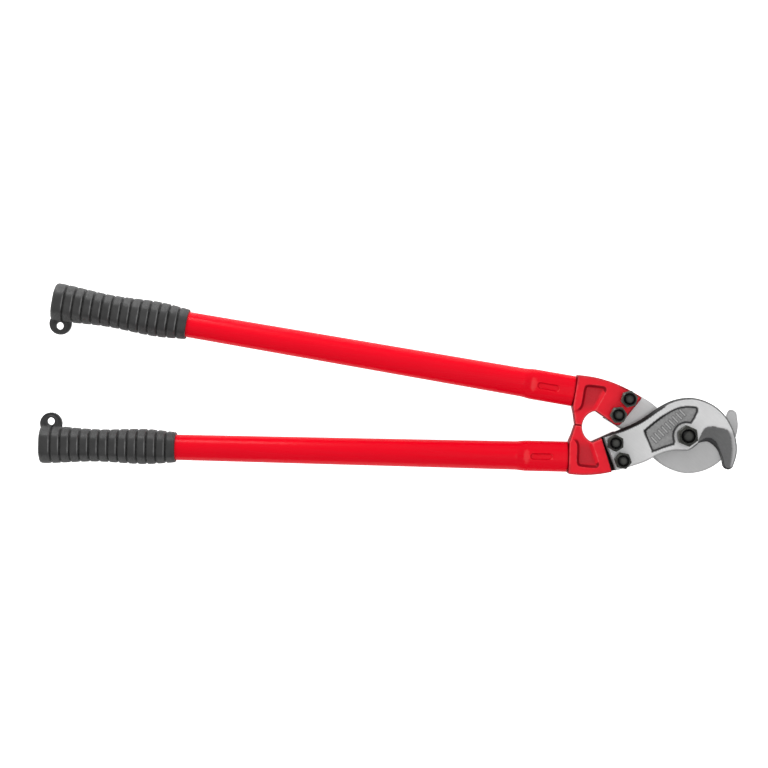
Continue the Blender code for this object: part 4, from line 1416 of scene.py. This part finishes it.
class BuildFasteners(bpy.types.Operator):
    """Build the pivot's and the clamps' bolts, lock nuts and nylon rings"""

    bl_idname = "cutter.build_fasteners"
    bl_label = "Fasteners"

    def execute(self, context):
        sizes = context.scene.cutter_fastener
        self.black = fastener_finish(sizes)
        self.nylon = insert_finish(sizes)
        clamped = BLADE_HIGH - BLADE_LOW + GAP / 2 + SOCKET_HALF
        grip = clamped + GAP + CLAMP_NUT
        bolt = bolt_surface(CLAMP_THREAD, CLAMP_FLATS, CLAMP_HEAD, grip, sizes.clamp_pitch / MM)
        nut = lock_nut_surface(CLAMP_THREAD, CLAMP_FLATS, CLAMP_NUT)
        ring = insert_surface(CLAMP_THREAD, CLAMP_NUT)
        stacks = {"upper": (-BLADE_HIGH, SOCKET_HALF, 1), "lower": (-SOCKET_HALF, BLADE_HIGH, -1)}
        for side, (back, front, flip) in stacks.items():
            for label, (x, y), turn in zip(("outer", "inner"), CLAMP_PLACES, NUT_TURNS[side]):
                place = (x, flip * y)
                names = [f"{side}_{kind}_{label}" for kind in ("bolt", "nut", "insert")]
                heights = (back - GAP - CLAMP_HEAD, front + GAP)
                size = (CLAMP_THREAD, CLAMP_FLATS, CLAMP_RIM_GLINT[side])
                self.stack(names, (bolt, nut, ring), size, turn, place, heights, f"{side}_half")
        grip = 2 * (BLADE_HIGH - BLADE_LOW + GAP) + PIVOT_NUT
        shapes = (
            bolt_surface(PIVOT_THREAD, PIVOT_FLATS, PIVOT_HEAD, grip, sizes.pivot_pitch / MM),
            lock_nut_surface(PIVOT_THREAD, PIVOT_FLATS, PIVOT_NUT),
            insert_surface(PIVOT_THREAD, PIVOT_NUT),
        )
        names = ("pivot_bolt", "pivot_nut", "pivot_insert")
        heights = (-MID_HEIGHT, BLADE_HIGH + GAP)
        size = (PIVOT_THREAD, PIVOT_FLATS, PIVOT_RIM_GLINT)
        self.stack(names, shapes, size, PIVOT_NUT_TURN, (0, 0), heights, "lower_half")
        return {"FINISHED"}

    def stack(self, nodes, shapes, size, turn, place, heights, body):
        """One bolt from below, with its nut and the nut's ring on the front."""
        levels = (heights[0], heights[1], heights[1])
        finishes = (self.black, self.black, self.nylon)
        slots = ("black_steel", "black_steel", "insert_nylon")
        for node, shape, level, finish, slot in zip(nodes, shapes, levels, finishes, slots):
            masks = fastener_masks(shape.points, *size)
            placed = turned_in_plan(shape, turn, place, level)
            make_piece(f"{node}_fine", node, placed, masks, finish, body)


class BuildStage(bpy.types.Operator):
    """Build the floor, the soft lights, the surroundings and the camera"""

    bl_idname = "cutter.build_stage"
    bl_label = "Stage"

    def execute(self, context):
        scene = context.scene
        sizes = scene.cutter_stage
        self.floor(sizes)
        for name, setting, place, size, aim, reflected in LIGHTS:
            lamp = self.light(name, getattr(sizes, setting), place, size, aim)
            lamp.visible_glossy = reflected
        self.surroundings(scene, sizes)
        camera = bpy.data.objects.new("camera", bpy.data.cameras.new("camera"))
        scene.collection.objects.link(camera)
        camera.location = sizes.camera_place
        camera.rotation_mode = "ZYX"
        camera.rotation_euler = sizes.camera_turn
        camera.data.lens = sizes.camera_lens
        scene.camera = camera
        scene.view_settings.view_transform = "Standard"
        return {"FINISHED"}

    def floor(self, sizes):
        """A pale floor just under the tool, four metres across."""
        centre = np.mean(CAD_BOX, axis=0)
        steps = np.linspace(-FLOOR_HALF, FLOOR_HALF, 9)
        x, y = np.meshgrid(steps + centre[0], steps + centre[1])
        surface = grid(np.stack([x, y, np.full_like(x, CAD_BOX[0][2] - FLOOR_DROP)], -1))
        mesh = bpy.data.meshes.new("floor")
        mesh.from_pydata(surface.points.tolist(), [], surface.faces[0].tolist())
        made, graph, shader = new_finish("pale_floor")
        grain = grained(graph, 40.0, 3.0)
        pale, dull = colour(sizes.floor_colour), colour(c * 0.97 for c in sizes.floor_colour)
        graph.feed(shader["Base Color"], graph.blend(0.1, grain["Mottle"], pale, dull))
        shader["Roughness"].default_value = 0.9
        shader["Specular IOR Level"].default_value = 0.1
        # Painted light: to all but the camera the floor glows, brighter on the +Y side, lighting the tool and
        # showing in its reflections; the camera sees it plain pale.
        across = graph.node("ShaderNodeSeparateXYZ", {0: graph.place()}).outputs["Y"]
        glow = graph.mix(graph.spread(across, 0.02, 0.3), colour((0.1, 0.1, 0.1)), colour((0.55, 0.55, 0.55)))
        seen = graph.node("ShaderNodeLightPath").outputs["Is Camera Ray"]
        graph.feed(shader["Emission Color"], graph.mix(seen, glow, pale))
        shader["Emission Strength"].default_value = 1.0
        mesh.materials.append(made)
        piece = bpy.data.objects.new("floor", mesh)
        bpy.context.scene.collection.objects.link(piece)

    def light(self, name, power, place, size, aim):
        """A rectangular soft light that faces its aim."""
        data = bpy.data.lights.new(name, "AREA")
        data.shape = "RECTANGLE"
        data.size, data.size_y = size
        data.energy = power
        lamp = bpy.data.objects.new(name, data)
        bpy.context.scene.collection.objects.link(lamp)
        lamp.location = place
        facing = np.array(aim) - np.array(place)
        lamp.rotation_mode = "QUATERNION"
        lamp.rotation_quaternion = Vector(facing).to_track_quat("-Z", "Y")
        return lamp

    def surroundings(self, scene, sizes):
        """Pale to look at, soft as ambient light, and dim in reflections so that paint stays deep."""
        world = bpy.data.worlds.new("surroundings")
        world.use_nodes = True
        scene.world = world
        graph = Graph(world.node_tree)
        background = world.node_tree.nodes["Background"].inputs
        path = graph.node("ShaderNodeLightPath").outputs
        unseen = graph.mix(path["Is Glossy Ray"], colour((sizes.ambient,) * 3), colour((0.04, 0.04, 0.042)))
        graph.feed(background["Color"], graph.mix(path["Is Camera Ray"], unseen, colour((0.95, 0.95, 0.95))))


class CutterPanel(bpy.types.Panel):
    """Sidebar panel with one button for each group of pieces"""

    bl_idname = "CUTTER_PT_build"
    bl_label = "Cable cutter"
    bl_space_type = "VIEW_3D"
    bl_region_type = "UI"
    bl_category = "Cutter"

    def draw(self, context):
        for operator in BUILDERS:
            self.layout.operator(operator.bl_idname)
        for name, group in SETTINGS.items():
            box = self.layout.box()
            for prop in group.__annotations__:
                box.prop(getattr(context.scene, name), prop)


BUILDERS = (BuildStage, BuildBlades, BuildSockets, BuildTubes, BuildGrips, BuildFasteners)
SETTINGS = {
    "cutter_blade": CutterBladeSettings,
    "cutter_socket": CutterSocketSettings,
    "cutter_tube": CutterTubeSettings,
    "cutter_grip": CutterGripSettings,
    "cutter_fastener": CutterFastenerSettings,
    "cutter_stage": CutterStageSettings,
}


def register():
    for group in SETTINGS.values():
        bpy.utils.register_class(group)
    for kind in (*BUILDERS, CutterPanel):
        bpy.utils.register_class(kind)
    for name, group in SETTINGS.items():
        setattr(bpy.types.Scene, name, PointerProperty(type=group))


def unregister():
    for name in SETTINGS:
        delattr(bpy.types.Scene, name)
    for kind in (CutterPanel, *BUILDERS[::-1]):
        bpy.utils.unregister_class(kind)
    for group in SETTINGS.values():
        bpy.utils.unregister_class(group)


def main():
    register()
    bpy.ops.cutter.build_stage()
    bpy.ops.cutter.build_blades()
    bpy.ops.cutter.build_sockets()
    bpy.ops.cutter.build_tubes()
    bpy.ops.cutter.build_grips()
    bpy.ops.cutter.build_fasteners()


if __name__ == "__main__":
    main()
